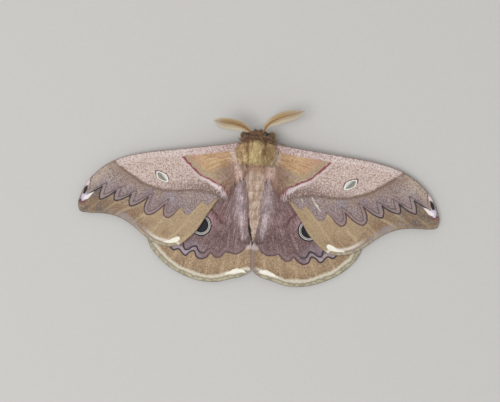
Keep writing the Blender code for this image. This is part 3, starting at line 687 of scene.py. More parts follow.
class ScalePaint(Paint):
    # the paint of one pair of wings, with the patterns that both pairs share
    def __init__(self, kind):
        self.look = scaleLooks[kind]
        super().__init__(kind + "Scales", self.look["roughness"])
        self.speckle = self.noise(0.5, detail=2.0, rough=0.85)
        self.grain = self.noise(0.24, detail=1.0)
        self.cloud = self.noise(5.0, detail=3.0)
        self.patchy = self.noise(self.look["patch"], detail=3.0)
        self.hair = self.noise(self.look["strand"], self.vector("flow"), detail=3.0)
        self.wobble = (self.patchy - 0.5) * 0.6

    def speck(self, colour, dark, light, share=1.0):
        return self.speckled(colour, self.speckle, dark, light, share)

    def finishScales(self, colour):
        # paler below, painted lighter towards each tuft's tip to offset the shade that the tufts cast on one
        # another, and finely uneven
        look = self.look
        veins = self.attribute("vein").line(0.5, 0.3) * 0.5
        paler = self.layers(colour, (look["below"], look["paleness"]), (look["veinBelow"], veins))
        colour = self.mix(colour, paler, self.attribute("below"))
        light = self.grain * 0.30 + self.speckle * look["speckle"] + self.hair * look["hair"] + look["level"]
        # painted light: the hair is lightened along each tuft, against the shade that the tufts cast on one
        # another
        colour = self.shade(colour, light + self.attribute("along").rise(0.0, 0.2) * 0.4)
        return self.finish(colour, self.grain * 0.6 + self.speckle * 0.8 + self.hair * look["relief"], 0.05)


def foreScales():
    p = ScalePaint("fore")
    mark, grain, cloud, patchy, hair, wobble = p.attribute, p.grain, p.cloud, p.patchy, p.hair, p.wobble
    x, y, _ = p.parts("plan")
    red, brown, tooth, innerTooth = -mark("red"), mark("brown"), mark("tooth"), mark("innerTooth")
    front, outer, inner, vein = mark("front"), mark("outer"), mark("inner"), mark("vein")

    # between the red and the brown line
    inward = x.rise(30, 14) * 0.35 + (brown + wobble).rise(-5.5, 0.5) * x.rise(44, 20) * 0.8
    middle = p.mix((199, 178, 169), (122, 100, 94), inward.atMost(1.0))
    middle = p.speck(middle, (140, 106, 92), (236, 220, 210), 1.1)

    # between the brown line and the toothed one
    beyond = p.layers(
        (155, 136, 127),
        ((142, 125, 128), cloud.rise(0.42, 0.62) * 0.4 + tooth.rise(-4.5, -1.0) * 0.5),
        ((174, 162, 160), x.rise(49, 57) * 0.7),
        ((184, 162, 138), (front + wobble).rise(5.0, 1.5) * x.rise(46, 52) * 0.6),
        ((148, 140, 160), (mark("violet") + wobble * 2.0).rise(1.6, -0.4) * 0.6),
    )
    beyond = p.speck(beyond, (100, 76, 70), (200, 184, 178))
    colour = p.layers(
        middle,
        (beyond, (brown + wobble).rise(-0.1, 0.6)),
        ((98, 70, 54), (brown + wobble * 2.2 - 0.3).line(0.8, 0.6) * (x.rise(14, 46) * 0.3 + 0.5)),
        ((134, 108, 88), brown.rise(-0.2, 0.3) * brown.rise(4.5, 1.0) * x.rise(26, 36) * 0.4),
    )

    # the outer margin and the toothed line
    fresh = x.rise(60, 46) * 0.6 + 0.4
    margin = p.layers(
        (170, 145, 113),
        ((138, 115, 94), x.rise(34, 46)),
        ((102, 87, 80), x.rise(48, 55)),
        ((134, 104, 78), cloud.rise(0.42, 0.6) * outer.rise(8.5, 3.0) * 0.8),
        ((200, 178, 142), (vein.line(0.4, 0.6) * 0.4 + hair.rise(0.52, 0.8) * 0.5) * fresh),
        ((160, 152, 154), (mark("smudge") + wobble * 1.6).rise(0.8, -0.5) * 0.45),
    )
    margin = p.speck(margin, (116, 90, 70), (208, 190, 156), 0.55)
    bold, within = x.rise(22, 31), tooth.rise(0.1, -0.1)
    lineTone = p.mix((86, 56, 58), (34, 26, 34), x.rise(36, 44))
    jagged = (grain - 0.5) * 0.5
    colour = p.layers(
        colour,
        (margin, tooth.rise(-0.03, 0.1)),
        ((112, 90, 96), tooth.rise(-3.2, -1.0) * within * bold * 0.35),
        ((156, 136, 132), innerTooth.rise(0.0, 0.2) * within * bold * 0.5),
        (lineTone, (tooth + jagged).line(0.46, 0.16) * (bold * 0.8 + 0.2)),
        (lineTone, (innerTooth + jagged * 0.6).line(0.26, 0.14) * x.rise(25, 29) * x.rise(59, 57) * 0.7),
    )

    # inside the red line, down to the wing's root
    mouse = p.layers(
        (166, 148, 120), ((150, 122, 108), x.rise(16, 9)), ((182, 156, 150), hair.rise(0.5, 0.7) * 0.6),
    )
    shadow = (red + wobble).rise(-3.2, -1.2).atLeast((inner + wobble * 2.0).rise(4.6, 2.8))
    shadow = shadow.atLeast((y + x * 0.42 + wobble * 3.0).rise(15.8, 14.0))
    basal = p.layers(
        (204, 170, 128),
        ((198, 158, 122), cloud.rise(0.46, 0.6)),
        ((152, 116, 76), hair.rise(0.44, 0.66) * 0.75),
        ((190, 146, 122), x.rise(17, 22)),
        (mouse, shadow * 0.9),
        ((226, 208, 194), (x + (hair - 0.5) * 6.0).rise(9.4, 6.8) * y.rise(11.0, 13.5) * 0.9),
        ((168, 136, 124), (x + wobble * 2.0).rise(9.5, 7.0) * y.rise(13.0, 11.0) * 0.7),
        ((226, 200, 190), (mark("pale") + (hair - 0.5) * 3.0).rise(0.7, -0.3) * 0.85),
    )
    basal = p.speck(basal, (128, 96, 74), (226, 204, 174), 0.55)
    redShift = red + wobble * 2.2
    colour = p.layers(
        colour,
        (basal, mark("red").rise(-0.15, 0.1)),
        ((218, 200, 198), (redShift - 0.85).line(0.7, 0.5) * (x.rise(20, 12) * 0.35 + 0.5)),
        ((132, 44, 66), redShift.line(0.62, 0.2) * 0.95 * front.rise(1.9, 2.9)),
    )

    # the pale strip behind the leading edge, the shoulder and the worn streaks
    strip = p.mix((204, 180, 176), (222, 207, 201), x.rise(16, 34))
    strip = p.speck(strip, (122, 92, 96), (240, 228, 222))
    worn = (mark("streak") + wobble * 1.2).rise(0.2, -0.1) * grain.rise(0.3, 0.55)
    colour = p.layers(
        colour,
        (strip, (front + wobble).rise(3.0, 2.2) * (x.rise(36, 24) * 0.4 + 0.55) * x.rise(52, 46)),
        ((190, 152, 144), (front - 2.5).line(0.5, 0.4) * x.rise(26, 30) * x.rise(50, 44) * 0.35),
        ((148, 112, 108), front.rise(0.45, 0.1) * x.rise(60, 40) * 0.7),
        ((230, 214, 216), (mark("shoulder") + wobble * 2.0).rise(0.5, -0.5) * 0.7),
        ((232, 222, 218), worn * 0.85),
    )
    colour = lensMark(p, colour, x, y)

    # the rims and the wing tip
    soft = outer + wobble * 0.9
    lilac = (outer + wobble * 2.5).rise(2.8, 1.4) * x.rise(32, 36) * x.rise(52, 46) * patchy.rise(0.4, 0.56)
    rimTone = p.mix((182, 170, 142), (150, 138, 120), patchy.rise(0.46, 0.6))
    edge = outer.atMost(front + x.rise(52, 30) * 5.0).atMost(inner + 0.1 + x.rise(20, 14) * 5.0)
    colour = p.layers(
        colour,
        ((150, 142, 146), lilac * 0.6),
        ((226, 218, 206), (soft - 2.0).line(1.0, 0.5) * x.rise(41, 34) * 0.85),
        ((140, 130, 120), (soft - 1.2).line(0.4, 0.35) * x.rise(42, 36) * 0.7),
        (rimTone, soft.rise(1.0, 0.7) * (x.rise(46, 38) * 0.7 + 0.2)),
        ((242, 238, 222), (mark("white") + wobble * 0.6).rise(0.16, -0.08)),
        # a thin dark rim: partly the wing's own dark edge, partly painted shade along the rim
        ((84, 70, 62), edge.rise(0.24, 0.08) * 0.7),
    )
    tips = (
        ("Line", (96, 56, 74), 0.8), ("Pink", (222, 204, 208), 0.9), ("Plum", (112, 58, 74), 0.85),
        ("Lilac", (206, 196, 218), 0.9), ("White", (238, 232, 234), 0.95), ("Black", (26, 24, 32), 1.0),
    )
    for name, tone, share in tips:
        colour = p.mix(colour, tone, (mark("tip" + name) + wobble * 0.5).rise(0.14, -0.1) * share)
    return p.finishScales(colour)


def lensMark(p, colour, x, y):
    # the slanted eyespot: a dark brow, a white rim and a grey and olive middle
    lens = foreWing["lens"]
    (ax, ay), (bx, by) = lens["across"], lens["along"]
    area = ax * by - ay * bx
    dx, dy = x - lens["centre"][0], y - lens["centre"][1]
    across, along = (dx * by - dy * bx) / area, (dy * ax - dx * ay) / area
    shape = (abs(across).power(lens["power"]) + abs(along).power(lens["power"])).power(1 / lens["power"])
    away = (shape - 1.0) * (area / math.hypot(bx, by)) + (p.grain - 0.5) * 0.2
    middle = p.layers(
        (150, 144, 120),
        ((212, 210, 206), (across + along * 0.3).rise(-0.05, -0.5)),
        ((116, 120, 134), (across - 0.1).line(0.3, 0.2) * 0.8),
    )
    return p.layers(
        colour,
        ((100, 50, 60), away.rise(0.42, 0.26) * ((along - across).rise(-0.5, 0.3) * 0.75 + 0.2)),
        ((238, 234, 228), away.rise(0.06, -0.04)),
        (middle, away.rise(-0.24, -0.34)),
    )


def hindScales():
    p = ScalePaint("hind")
    mark, cloud, patchy, hair, wobble = p.attribute, p.cloud, p.patchy, p.hair, p.wobble
    x, y, _ = p.parts("plan")
    tooth, second, red = mark("tooth"), mark("second"), mark("red")
    outer, inner, vein = mark("outer"), mark("inner"), mark("vein")
    ring = mark("ring") + wobble * 0.12

    # the furred inner field, with a pink blush at the eyespot
    blushX, blushY = hindWing["eye"]["blush"]
    blush = ring.rise(6.4, 4.4) * (x - blushX).rise(0.5, -3.5) * (y - blushY).rise(-1.0, 2.5)
    pale = (mark("pale") + (hair - 0.5) * 9.0 + wobble).rise(1.4, -1.2)
    mauve = p.layers(
        (136, 106, 104),
        ((104, 78, 75), (y.rise(-9.0, -15.0) * 0.8 + cloud.rise(0.5, 0.7) * 0.3).atMost(1.0)),
        ((146, 130, 142), x.rise(15, 21) * tooth.rise(-5.5, -2.5) * 0.6),
        ((182, 134, 146), blush * 0.8),
        ((190, 168, 168), hair.rise(0.48, 0.68) * (y.rise(-18.0, -10.0) * 0.35 + 0.25)),
        ((220, 204, 207), pale * 0.75),
    )
    mauve = p.speck(mauve, (84, 60, 60), (188, 168, 166), 0.6)
    crimson = p.mix((96, 66, 66), (104, 42, 54), x.rise(10.5, 12.5))
    colour = p.layers(
        mauve,
        ((150, 126, 130), tooth.rise(-1.7, -1.5) * 0.25),
        ((80, 58, 64), (tooth + 1.7 + wobble * 0.5).line(0.35, 0.25) * (x.rise(8, 17) * 0.5 + 0.1)),
        (crimson, (red + wobble * 1.4).rise(0.7, 0.2) * (x.rise(9, 12) * 0.5 + 0.3)),
    )

    # the ochre band and the scalloped lines before it
    band = p.layers(
        (164, 137, 107),
        ((142, 114, 86), cloud.rise(0.44, 0.6) * 0.5 + outer.rise(5.0, 3.0) * 0.5),
        ((200, 176, 142), vein.line(0.45, 0.7) * 0.4 + hair.rise(0.52, 0.78) * 0.45),
    )
    band = p.speck(band, (114, 88, 68), (206, 184, 150), 0.8)
    bold = x.rise(13, 20)
    ragged = tooth + wobble * (x.rise(20, 12) * 0.8 + 0.2)
    between = tooth.rise(0.0, -0.3) * tooth.rise(-1.6, -1.2) * x.rise(18, 24)
    colour = p.layers(
        colour,
        (band, ragged.rise(-0.05, 0.15)),
        ((180, 166, 172), between * 0.7 * patchy.rise(0.3, 0.5)),
        ((82, 56, 62), (ragged + 0.1).line(0.4, 0.3) * 0.85),
        ((36, 30, 38), (tooth + 0.1).line(0.42, 0.18) * bold),
        ((40, 32, 42), second.rise(0.36, 0.16) * bold * x.rise(14, 16)),
    )

    # cream, grey and olive rims, and the rolled inner edge
    soft = outer + wobble * 1.7 + (cloud - 0.5) * 1.4
    rimTone = p.mix((182, 174, 146), (150, 142, 118), patchy.rise(0.44, 0.58))
    rolled = mark("rolled") * y.rise(-15.5, -17.5)
    colour = p.layers(
        colour,
        ((216, 209, 190), (soft - 2.0).line(1.2, 0.45) * 0.85),
        ((136, 128, 112), (soft - 1.25).line(0.45, 0.3) * 0.7),
        (rimTone, soft.rise(1.25, 0.95)),
        ((244, 240, 226), (mark("white") + wobble * 0.8).rise(0.2, -0.1)),
        # a thin dark rim: partly the wing's own dark edge, partly painted shade along the rim
        ((84, 70, 60), outer.rise(0.26, 0.08) * 0.75),
        ((146, 124, 118), (inner + wobble).rise(2.0, 0.9) * rolled * 0.8),
        ((96, 76, 70), inner.rise(0.4, 0.1) * rolled * 0.6),
        ((206, 188, 188), (mark("tail") + wobble * 2.0).rise(0.8, -0.6) * 0.8),
    )
    for radius, tone in hindWing["rings"]:
        colour = p.mix(colour, tone, ring.rise(radius + 0.05, radius - 0.05))
    return p.finishScales(p.mix(colour, (22, 27, 44), ring.rise(2.6, 0.8) * 0.7))


# Geometry Nodes trees, made here with named inputs

class Recipe(NodeTree):
    # one Geometry Nodes tree
    def __init__(self, name, inputs):
        self.tree = bpy.data.node_groups.new(name, "GeometryNodeTree")
        self.tree.interface.new_socket(name="Geometry", in_out="OUTPUT", socket_type="NodeSocketGeometry")
        for label, (kind, value) in inputs.items():
            socket = self.tree.interface.new_socket(name=label, in_out="INPUT", socket_type=kind)
            if value is not None:
                socket.default_value = value
        self.given = self.tree.nodes.new("NodeGroupInput").outputs

    def named(self, name, kind="FLOAT"):
        return self.out("GeometryNodeInputNamedAttribute", {"data_type": kind}, {"Name": name}, "Attribute")

    def maths(self, operation, first, second):
        return self.out("ShaderNodeMath", {"operation": operation}, {0: first, 1: second})

    def vectorMaths(self, operation, **values):
        places = {"first": 0, "second": 1, "scale": "Scale"}
        values = {places[key]: value for key, value in values.items()}
        return self.out("ShaderNodeVectorMath", {"operation": operation}, values)

    def random(self, low, high, seed, kind="FLOAT"):
        values = {"Min": low, "Max": high, "Seed": seed}
        return self.out("FunctionNodeRandomValue", {"data_type": kind}, values, "Value")

    def millimetres(self, value, *factors):
        # a size given in millimetres, in metres, times some factors
        size = self.maths("MULTIPLY", value, mm)
        for factor in factors:
            size = self.maths("MULTIPLY", size, factor)
        return size

    def copies(self, points, shape, rotation, size):
        # an object's shape at each point, turned and sized
        settings = {"transform_space": "ORIGINAL"}
        copied = self.out("GeometryNodeObjectInfo", settings, {"Object": shape}, "Geometry")
        return self.out("GeometryNodeInstanceOnPoints", None, {
            "Points": points, "Instance": copied, "Rotation": rotation, "Scale": size,
        })

    def end(self, geometry, material):
        real = self.out("GeometryNodeRealizeInstances", None, {"Geometry": geometry})
        return self.out("GeometryNodeSetMaterial", None, {"Geometry": real, "Material": material})

    def close(self, geometry):
        self.tree.links.new(geometry, self.tree.nodes.new("NodeGroupOutput").inputs[0])
        return self

    def grow(self, name, source, values):
        # a new piece: this tree run on a mesh or curve, as a plain mesh
        grown = placed("grown", source)
        modifier = grown.modifiers.new(self.tree.name, "NODES")
        modifier.node_group = self.tree
        for item in self.tree.interface.items_tree:
            if item.in_out == "INPUT" and item.name in values:
                modifier[item.identifier] = values[item.name]
        mesh = evaluatedMesh(grown)
        bpy.data.objects.remove(grown)
        return placed(name, mesh)


def tuftShape():
    # one thin three-sided tuft along +X, 1 long and 1 wide, rising and bending over
    stations = ((0.0, 0.34, 0.0), (0.5, 0.5, 0.16))
    points = []
    for x, wide, high in stations:
        points += [(x, wide, high - 0.02), (x, 0.0, high + 0.05), (x, -wide, high - 0.02)]
    points.append((1.0, 0.0, 0.2))
    faces = [(2, 1, 0)]
    faces += [(i, (i + 1) % 3, (i + 1) % 3 + 3, i + 3) for i in range(3)]
    faces += [(3 + i, 3 + (i + 1) % 3, 6) for i in range(3)]
    places = np.array(points)
    tuft = meshPiece("tuftShape", places / mm, faces)
    turnOutwards(tuft.data)
    storeFloats(tuft.data, along=places[:, 0], tuftSide=places[:, 1])
    return tuft


def furRecipe():
    r = Recipe("lyingFur", {
        "Skin": ("NodeSocketGeometry", None),
        "Tuft": ("NodeSocketObject", None),
        "Material": ("NodeSocketMaterial", None),
        "Density": ("NodeSocketFloat", 10.0),
        "Length": ("NodeSocketFloat", 1.0),
        "Width": ("NodeSocketFloat", 0.16),
        "Lift": ("NodeSocketFloat", 1.0),
        "Spread": ("NodeSocketFloat", 0.25),
        "Seed": ("NodeSocketInt", 1),
    })
    given = r.given
    perMetre = r.maths("MULTIPLY", r.maths("MULTIPLY", given["Density"], 1 / mm**2), r.named("furDensity"))
    strewn = r.node("GeometryNodeDistributePointsOnFaces", {"distribute_method": "RANDOM"}, {
        "Mesh": given["Skin"], "Density": perMetre, "Seed": given["Seed"],
    })
    jitter = r.random((-1.0, -1.0, -1.0), (1.0, 1.0, 1.0), 5, "FLOAT_VECTOR")
    jitter = r.vectorMaths("SCALE", first=jitter, scale=given["Spread"])
    lie = r.vectorMaths("ADD", first=r.named("lie", "FLOAT_VECTOR"), second=jitter)
    upright = r.out("FunctionNodeAlignRotationToVector", {"axis": "Z"}, {"Vector": strewn.outputs["Normal"]})
    lying = r.out("FunctionNodeAlignRotationToVector", {"axis": "X", "pivot_axis": "Z"}, {
        "Rotation": upright, "Vector": lie,
    })
    length = r.millimetres(given["Length"], r.named("furLength"), r.random(0.7, 1.25, 11))
    width = r.millimetres(given["Width"], r.random(0.7, 1.3, 12))
    high = r.maths("MULTIPLY", r.maths("MULTIPLY", length, given["Lift"]), r.random(0.6, 1.4, 13))
    size = r.out("ShaderNodeCombineXYZ", None, {0: length, 1: width, 2: high})
    coat = r.end(r.copies(strewn.outputs["Points"], given["Tuft"], lying, size), given["Material"])

    # each tuft keeps its root's place in the bake, with a small patch round it
    patch = r.out("ShaderNodeCombineXYZ", None, {0: r.named("along"), 1: r.named("tuftSide"), 2: 0.0})
    patch = r.vectorMaths("SCALE", first=patch, scale=0.003)
    place = r.vectorMaths("ADD", first=r.named("OFBake", "FLOAT_VECTOR"), second=patch)
    return r.close(r.out("GeometryNodeStoreNamedAttribute", {"data_type": "FLOAT2", "domain": "CORNER"}, {
        "Geometry": coat, "Name": "OFBake", "Value": place,
    }))


# Body: stations of y, half width, lowest z and highest z

bodyCore = {
    "thorax": (
        (10.9, 0.0, 6.0, 6.0), (11.5, 3.5, 3.6, 9.2), (13.1, 5.2, 2.6, 10.7), (15.8, 5.8, 2.2, 11.2),
        (18.2, 5.8, 2.4, 11.0), (19.8, 5.2, 3.2, 10.3), (20.6, 3.6, 4.4, 9.4), (21.0, 0.0, 6.8, 6.8),
    ),
    "abdomen": (
        (12.4, 0.0, 5.6, 5.6), (12.0, 3.4, 2.6, 8.6), (8.0, 4.0, 1.9, 9.0), (2.0, 3.4, 1.8, 8.2),
        (-3.0, 2.8, 1.9, 7.2), (-7.0, 2.2, 2.1, 6.2), (-10.4, 1.55, 2.4, 5.3), (-13.2, 0.9, 2.8, 4.6),
        (-14.6, 0.0, 3.6, 3.6),
    ),
    "head": (
        (19.5, 0.0, 6.0, 6.0), (20.0, 2.0, 4.2, 7.8), (21.2, 2.45, 3.8, 8.2), (22.3, 2.0, 4.1, 7.8),
        (22.8, 1.2, 4.8, 7.1), (23.1, 0.0, 5.9, 5.9),
    ),
    "inset": {"thorax": 0.55, "abdomen": 0.4, "head": 0.25},
    "palp": ((0.7, 22.1, 4.8), (0.9, 22.9, 4.2), (0.95, 23.3, 4.3)),
    "middle": 0.45,  # the body rests a little to the right of the middle of the wings
    "collarBend": 0.065,  # how fast the collar's front falls back to the sides
    "squareness": 2.3,
    "least": 0.15,
    "palpRadius": (0.42, 0.36, 0.18),
    "rings": 8,
    "ringDepth": 0.16,
    "voxel": 0.2,
    "floorGap": 0.02,
    "legThin": 0.84,  # a leg's bare radius as a share of its radius with the hair
}

skinMap = {
    # where the body and the legs lie in the unwrap
    "middles": ((-16, -3, 8, 15, 20, 23), (3.6, 4.5, 5.4, 6.7, 6.4, 5.9)),  # heights that it turns about
    "body": {"at": (0.31, 0.02), "size": (0.54, 0.96)},
    "rear": 16.5,
    "long": 42,
    "leg": {"at": 0.64, "apart": 0.055, "wide": 0.04, "low": 0.04, "tall": 0.92},
}

legCourses = {
    "fore": (
        ((2.2, 17.8, 4.8), 0.9), ((3.6, 19.3, 4.3), 0.85), ((4.5, 20.6, 4.8), 0.95), ((4.9, 21.4, 5.1), 0.95),
        ((4.8, 22.1, 4.2), 0.65), ((4.2, 22.5, 2.5), 0.55), ((3.5, 22.6, 1.0), 0.45),
        ((2.8, 22.6, 0.36), 0.38), ((2.0, 22.9, 0.33), 0.36), ((1.3, 23.3, 0.3), 0.3),
    ),
    "mid": (
        ((2.6, 15.6, 4.8), 0.95), ((4.2, 15.8, 3.9), 0.9), ((6.6, 16.3, 3.3), 0.9), ((8.6, 16.4, 3.4), 0.85),
        ((9.6, 15.8, 3.0), 0.6), ((11.2, 14.4, 1.7), 0.55), ((12.4, 13.3, 0.8), 0.45),
        ((13.3, 12.5, 0.35), 0.4), ((14.8, 11.3, 0.33), 0.38), ((16.2, 10.2, 0.3), 0.3),
    ),
    "hind": (
        ((2.2, 13.4, 4.8), 0.95), ((4.0, 12.4, 3.8), 0.9), ((6.4, 10.6, 2.9), 0.9), ((8.2, 8.9, 2.7), 0.8),
        ((8.9, 7.6, 2.4), 0.6), ((9.4, 4.6, 1.6), 0.55), ((9.7, 1.6, 0.8), 0.45),
        ((9.8, 0.0, 0.38), 0.4), ((9.9, -3.4, 0.35), 0.38), ((10.0, -6.6, 0.3), 0.3),
    ),
}


def bodySection(stations, y):
    # half width, lowest z and highest z at one place along the body
    table = np.array(sorted(stations), float)
    where = np.interp(y, table[:, 0], np.arange(len(table)))
    low = int(np.clip(np.floor(where), 0, len(table) - 2))
    ends = table[low : low + 2, 1:]
    before, after = table[max(low - 1, 0), 1:], table[min(low + 2, len(table) - 1), 1:]
    return hermite(where - low, ends, ((ends[1] - before) / 2, (after - ends[0]) / 2))


def closedLoft(rings):
    # a closed tube through rings of points
    count = len(rings[0])
    points = np.vstack([rings[0].mean(0), *rings, rings[-1].mean(0)])
    faces = []
    last = 1 + (len(rings) - 1) * count
    for i in range(count):
        after = (i + 1) % count
        faces += [(0, 1 + after, 1 + i), (last + i, last + after, len(points) - 1)]
        for a in range(1, last, count):
            faces.append((a + i, a + after, a + count + after, a + count + i))
    return points, faces


def bodyLoft(part, count=40, sidesCount=36):
    stations, inset = bodyCore[part], bodyCore["inset"][part]
    ends = sorted((stations[0][0], stations[-1][0]))
    low, high = ends[0] + inset, ends[1] - inset
    turns = np.arange(sidesCount) * 2 * math.pi / sidesCount
    power, least = bodyCore["squareness"], bodyCore["least"]
    reach = (np.abs(np.sin(turns)) ** power + np.abs(np.cos(turns)) ** power) ** (-1 / power)
    rings = []
    for y in low + (1 - np.cos(np.linspace(0, math.pi, count + 2)[1:-1])) / 2 * (high - low):
        half, bottom, top = bodySection(stations, y)
        sink = inset
        if part == "abdomen":
            share = (y - low) / (high - low) * bodyCore["rings"]
            sink += bodyCore["ringDepth"] * abs(math.cos(math.pi * share)) ** 6
        half, bottom, top = max(half - sink, least), bottom + sink, top - sink
        if top - bottom < 2 * least:
            bottom, top = (top + bottom) / 2 - least, (top + bottom) / 2 + least
        x = bodyCore["middle"] + half * reach * np.sin(turns)
        z = (top + bottom) / 2 + (top - bottom) / 2 * reach * np.cos(turns)
        rings.append(np.column_stack([x, np.full(sidesCount, y), z]))
    return closedLoft(rings)


def tubeLoft(course, radii, sidesCount=10):
    # a closed round tube that stays above the floor
    rings, across = [], None
    turns = np.arange(sidesCount)[:, None] * 2 * math.pi / sidesCount
    for centre, forward, radius in zip(course, np.gradient(course, axis=0), radii):
        forward = forward / np.linalg.norm(forward)
        guide = np.array((0.0, 0.0, 1.0)) if across is None else across
        across = np.cross(forward, np.cross(guide, forward))
        across /= np.linalg.norm(across)
        ring = centre + radius * (np.cos(turns) * across + np.sin(turns) * np.cross(forward, across))
        ring[:, 2] = np.maximum(ring[:, 2], bodyCore["floorGap"])
        rings.append(ring)
    return closedLoft(rings)


def legCourse(pair, sign):
    knots = np.array([(bodyCore["middle"] + x * sign, y, z) for (x, y, z), _ in legCourses[pair]])
    course = smoothPath(knots, 0.5)
    spans = np.concatenate([[0], np.cumsum(np.linalg.norm(np.diff(knots, axis=0), axis=1))])
    radii = np.interp(np.linspace(0, spans[-1], len(course)), spans, [r for _, r in legCourses[pair]])
    return course, radii * bodyCore["legThin"]


def buildSkin():
    # body, head, palps and legs as one skin without a seam
    shapes = [bodyLoft(part) for part in ("thorax", "abdomen", "head")]
    legs = {}
    for sign in sideSigns.values():
        palp = smoothPath([(bodyCore["middle"] + x * sign, y, z) for x, y, z in bodyCore["palp"]], 0.2)
        radii = np.interp(np.linspace(0, 1, len(palp)), (0, 0.5, 1), bodyCore["palpRadius"])
        shapes.append(tubeLoft(palp, radii))
        for pair in legCourses:
            legs[pair, sign] = legCourse(pair, sign)
            shapes.append(tubeLoft(*legs[pair, sign]))
    faces, start = [], 0
    for points, shapeFaces in shapes:
        faces += [tuple(i + start for i in face) for face in shapeFaces]
        start += len(points)
    skin = meshPiece("skin", np.vstack([points for points, _ in shapes]), faces)
    turnOutwards(skin.data)
    melt = skin.modifiers.new("melt", "REMESH")
    melt.mode = "VOXEL"
    melt.voxel_size = bodyCore["voxel"] * mm
    ease = skin.modifiers.new("ease", "SMOOTH")
    ease.iterations = 4
    ease.factor = 0.5
    kept = evaluatedMesh(skin)
    skin.modifiers.clear()
    skin.data = kept
    skin.data.shade_smooth()
    dressSkin(skin.data, legs)
    print("skin", len(skin.data.polygons), "faces")
    return skin


def insideBody(x, y, z):
    # the points in the thorax, abdomen or head, and all those behind y = 0, the hind feet among them
    within = y < 0
    for part in ("thorax", "abdomen", "head"):
        stations = np.array(sorted(bodyCore[part]), float)
        half, bottom, top = [np.interp(y, stations[:, 0], stations[:, k]) for k in (1, 2, 3)]
        along = (y > stations[0, 0]) & (y < stations[-1, 0])
        within |= (np.abs(x) < half + 0.1) & (z > bottom - 0.1) & (z < top + 0.1) & along
    return within


def dressSkin(mesh, legs):
    # which points are on a leg, how the fur lies on each, and the unwrap
    places = placesOf(mesh)
    count = len(places)
    x, y, z = (places - (bodyCore["middle"], 0.0, 0.0)).T
    wide = np.abs(x)
    outwards = 0.10 + 0.16 * easeStep(wide, 2.5, 4.5) * easeStep(y, 14.0, 18.0)
    outwards = outwards + 0.14 * easeStep(wide, 2.2, 3.4) * easeStep(y, 5.0, 8.0) * easeStep(y, 14.0, 13.0)
    lie = np.column_stack([outwards * x, np.full(count, -1.0), np.where(z > 6, -0.05, 0.05) * wide])
    ahead = easeStep(y + bodyCore["collarBend"] * x**2, 20.1, 20.2)[:, None]
    lie = lie * (1 - ahead) + np.column_stack([0.25 * x, np.full(count, 1.0), -0.2 + 0 * x]) * ahead
    nearest, which, down = np.full(count, 1e9), np.zeros(count, int), np.zeros(count)
    for i, (course, radii) in enumerate(legs.values()):
        away, where = distanceTo(places, course)
        shares = np.linspace(0, 1, len(course))
        away = away - np.interp(where, shares, radii)
        steps = np.gradient(course, axis=0)
        closer = (away < 0.22) & (away < nearest)
        nearest[closer], which[closer], down[closer] = away[closer], i + 1, where[closer]
        for axis in range(3):
            lie[closer, axis] = np.interp(where[closer], shares, steps[:, axis] * 2)
    onLeg = (which > 0) & ~insideBody(x, y, z)
    which[~onLeg] = 0
    store(mesh, "place", np.column_stack([x, y, z]))
    store(mesh, "lie", lie)
    storeFloats(mesh, legShare=onLeg.astype(float), legDown=down * onLeg)
    unwrapSkin(mesh, x, y, z, which, down)


def unwrapSkin(mesh, x, y, z, which, down):
    # the body unrolled round its length, with each leg in a strip of its own beside it
    corners = readAll(mesh.loops, "vertex_index", int)
    starts = readAll(mesh.polygons, "loop_start", int)
    face = np.repeat(np.arange(len(starts)), readAll(mesh.polygons, "loop_total", int))
    middle = np.interp(y, *skinMap["middles"])
    angle = np.arctan2(x, z - middle)[corners]
    first = angle[starts][face]
    angle = np.where(angle - first > math.pi, angle - 2 * math.pi, angle)
    angle = np.where(angle - first < -math.pi, angle + 2 * math.pi, angle)
    leg = which[corners[starts]][face]
    turned = angle / (2 * math.pi)
    (left, low), (wide, tall) = skinMap["body"]["at"], skinMap["body"]["size"]
    along = (y[corners] + skinMap["rear"]) / skinMap["long"]
    bodyMap = np.column_stack([left + turned * wide, low + along * tall])
    strip = skinMap["leg"]
    around = (np.mod(turned, 1.0) - 0.5) * strip["wide"]
    across = strip["at"] + strip["apart"] * leg + around - strip["wide"] / 2
    legMap = np.column_stack([across, strip["low"] + down[corners] * strip["tall"]])
    store(mesh, "OFBake", np.where(leg[:, None] > 0, legMap, bodyMap), "FLOAT2", "CORNER")


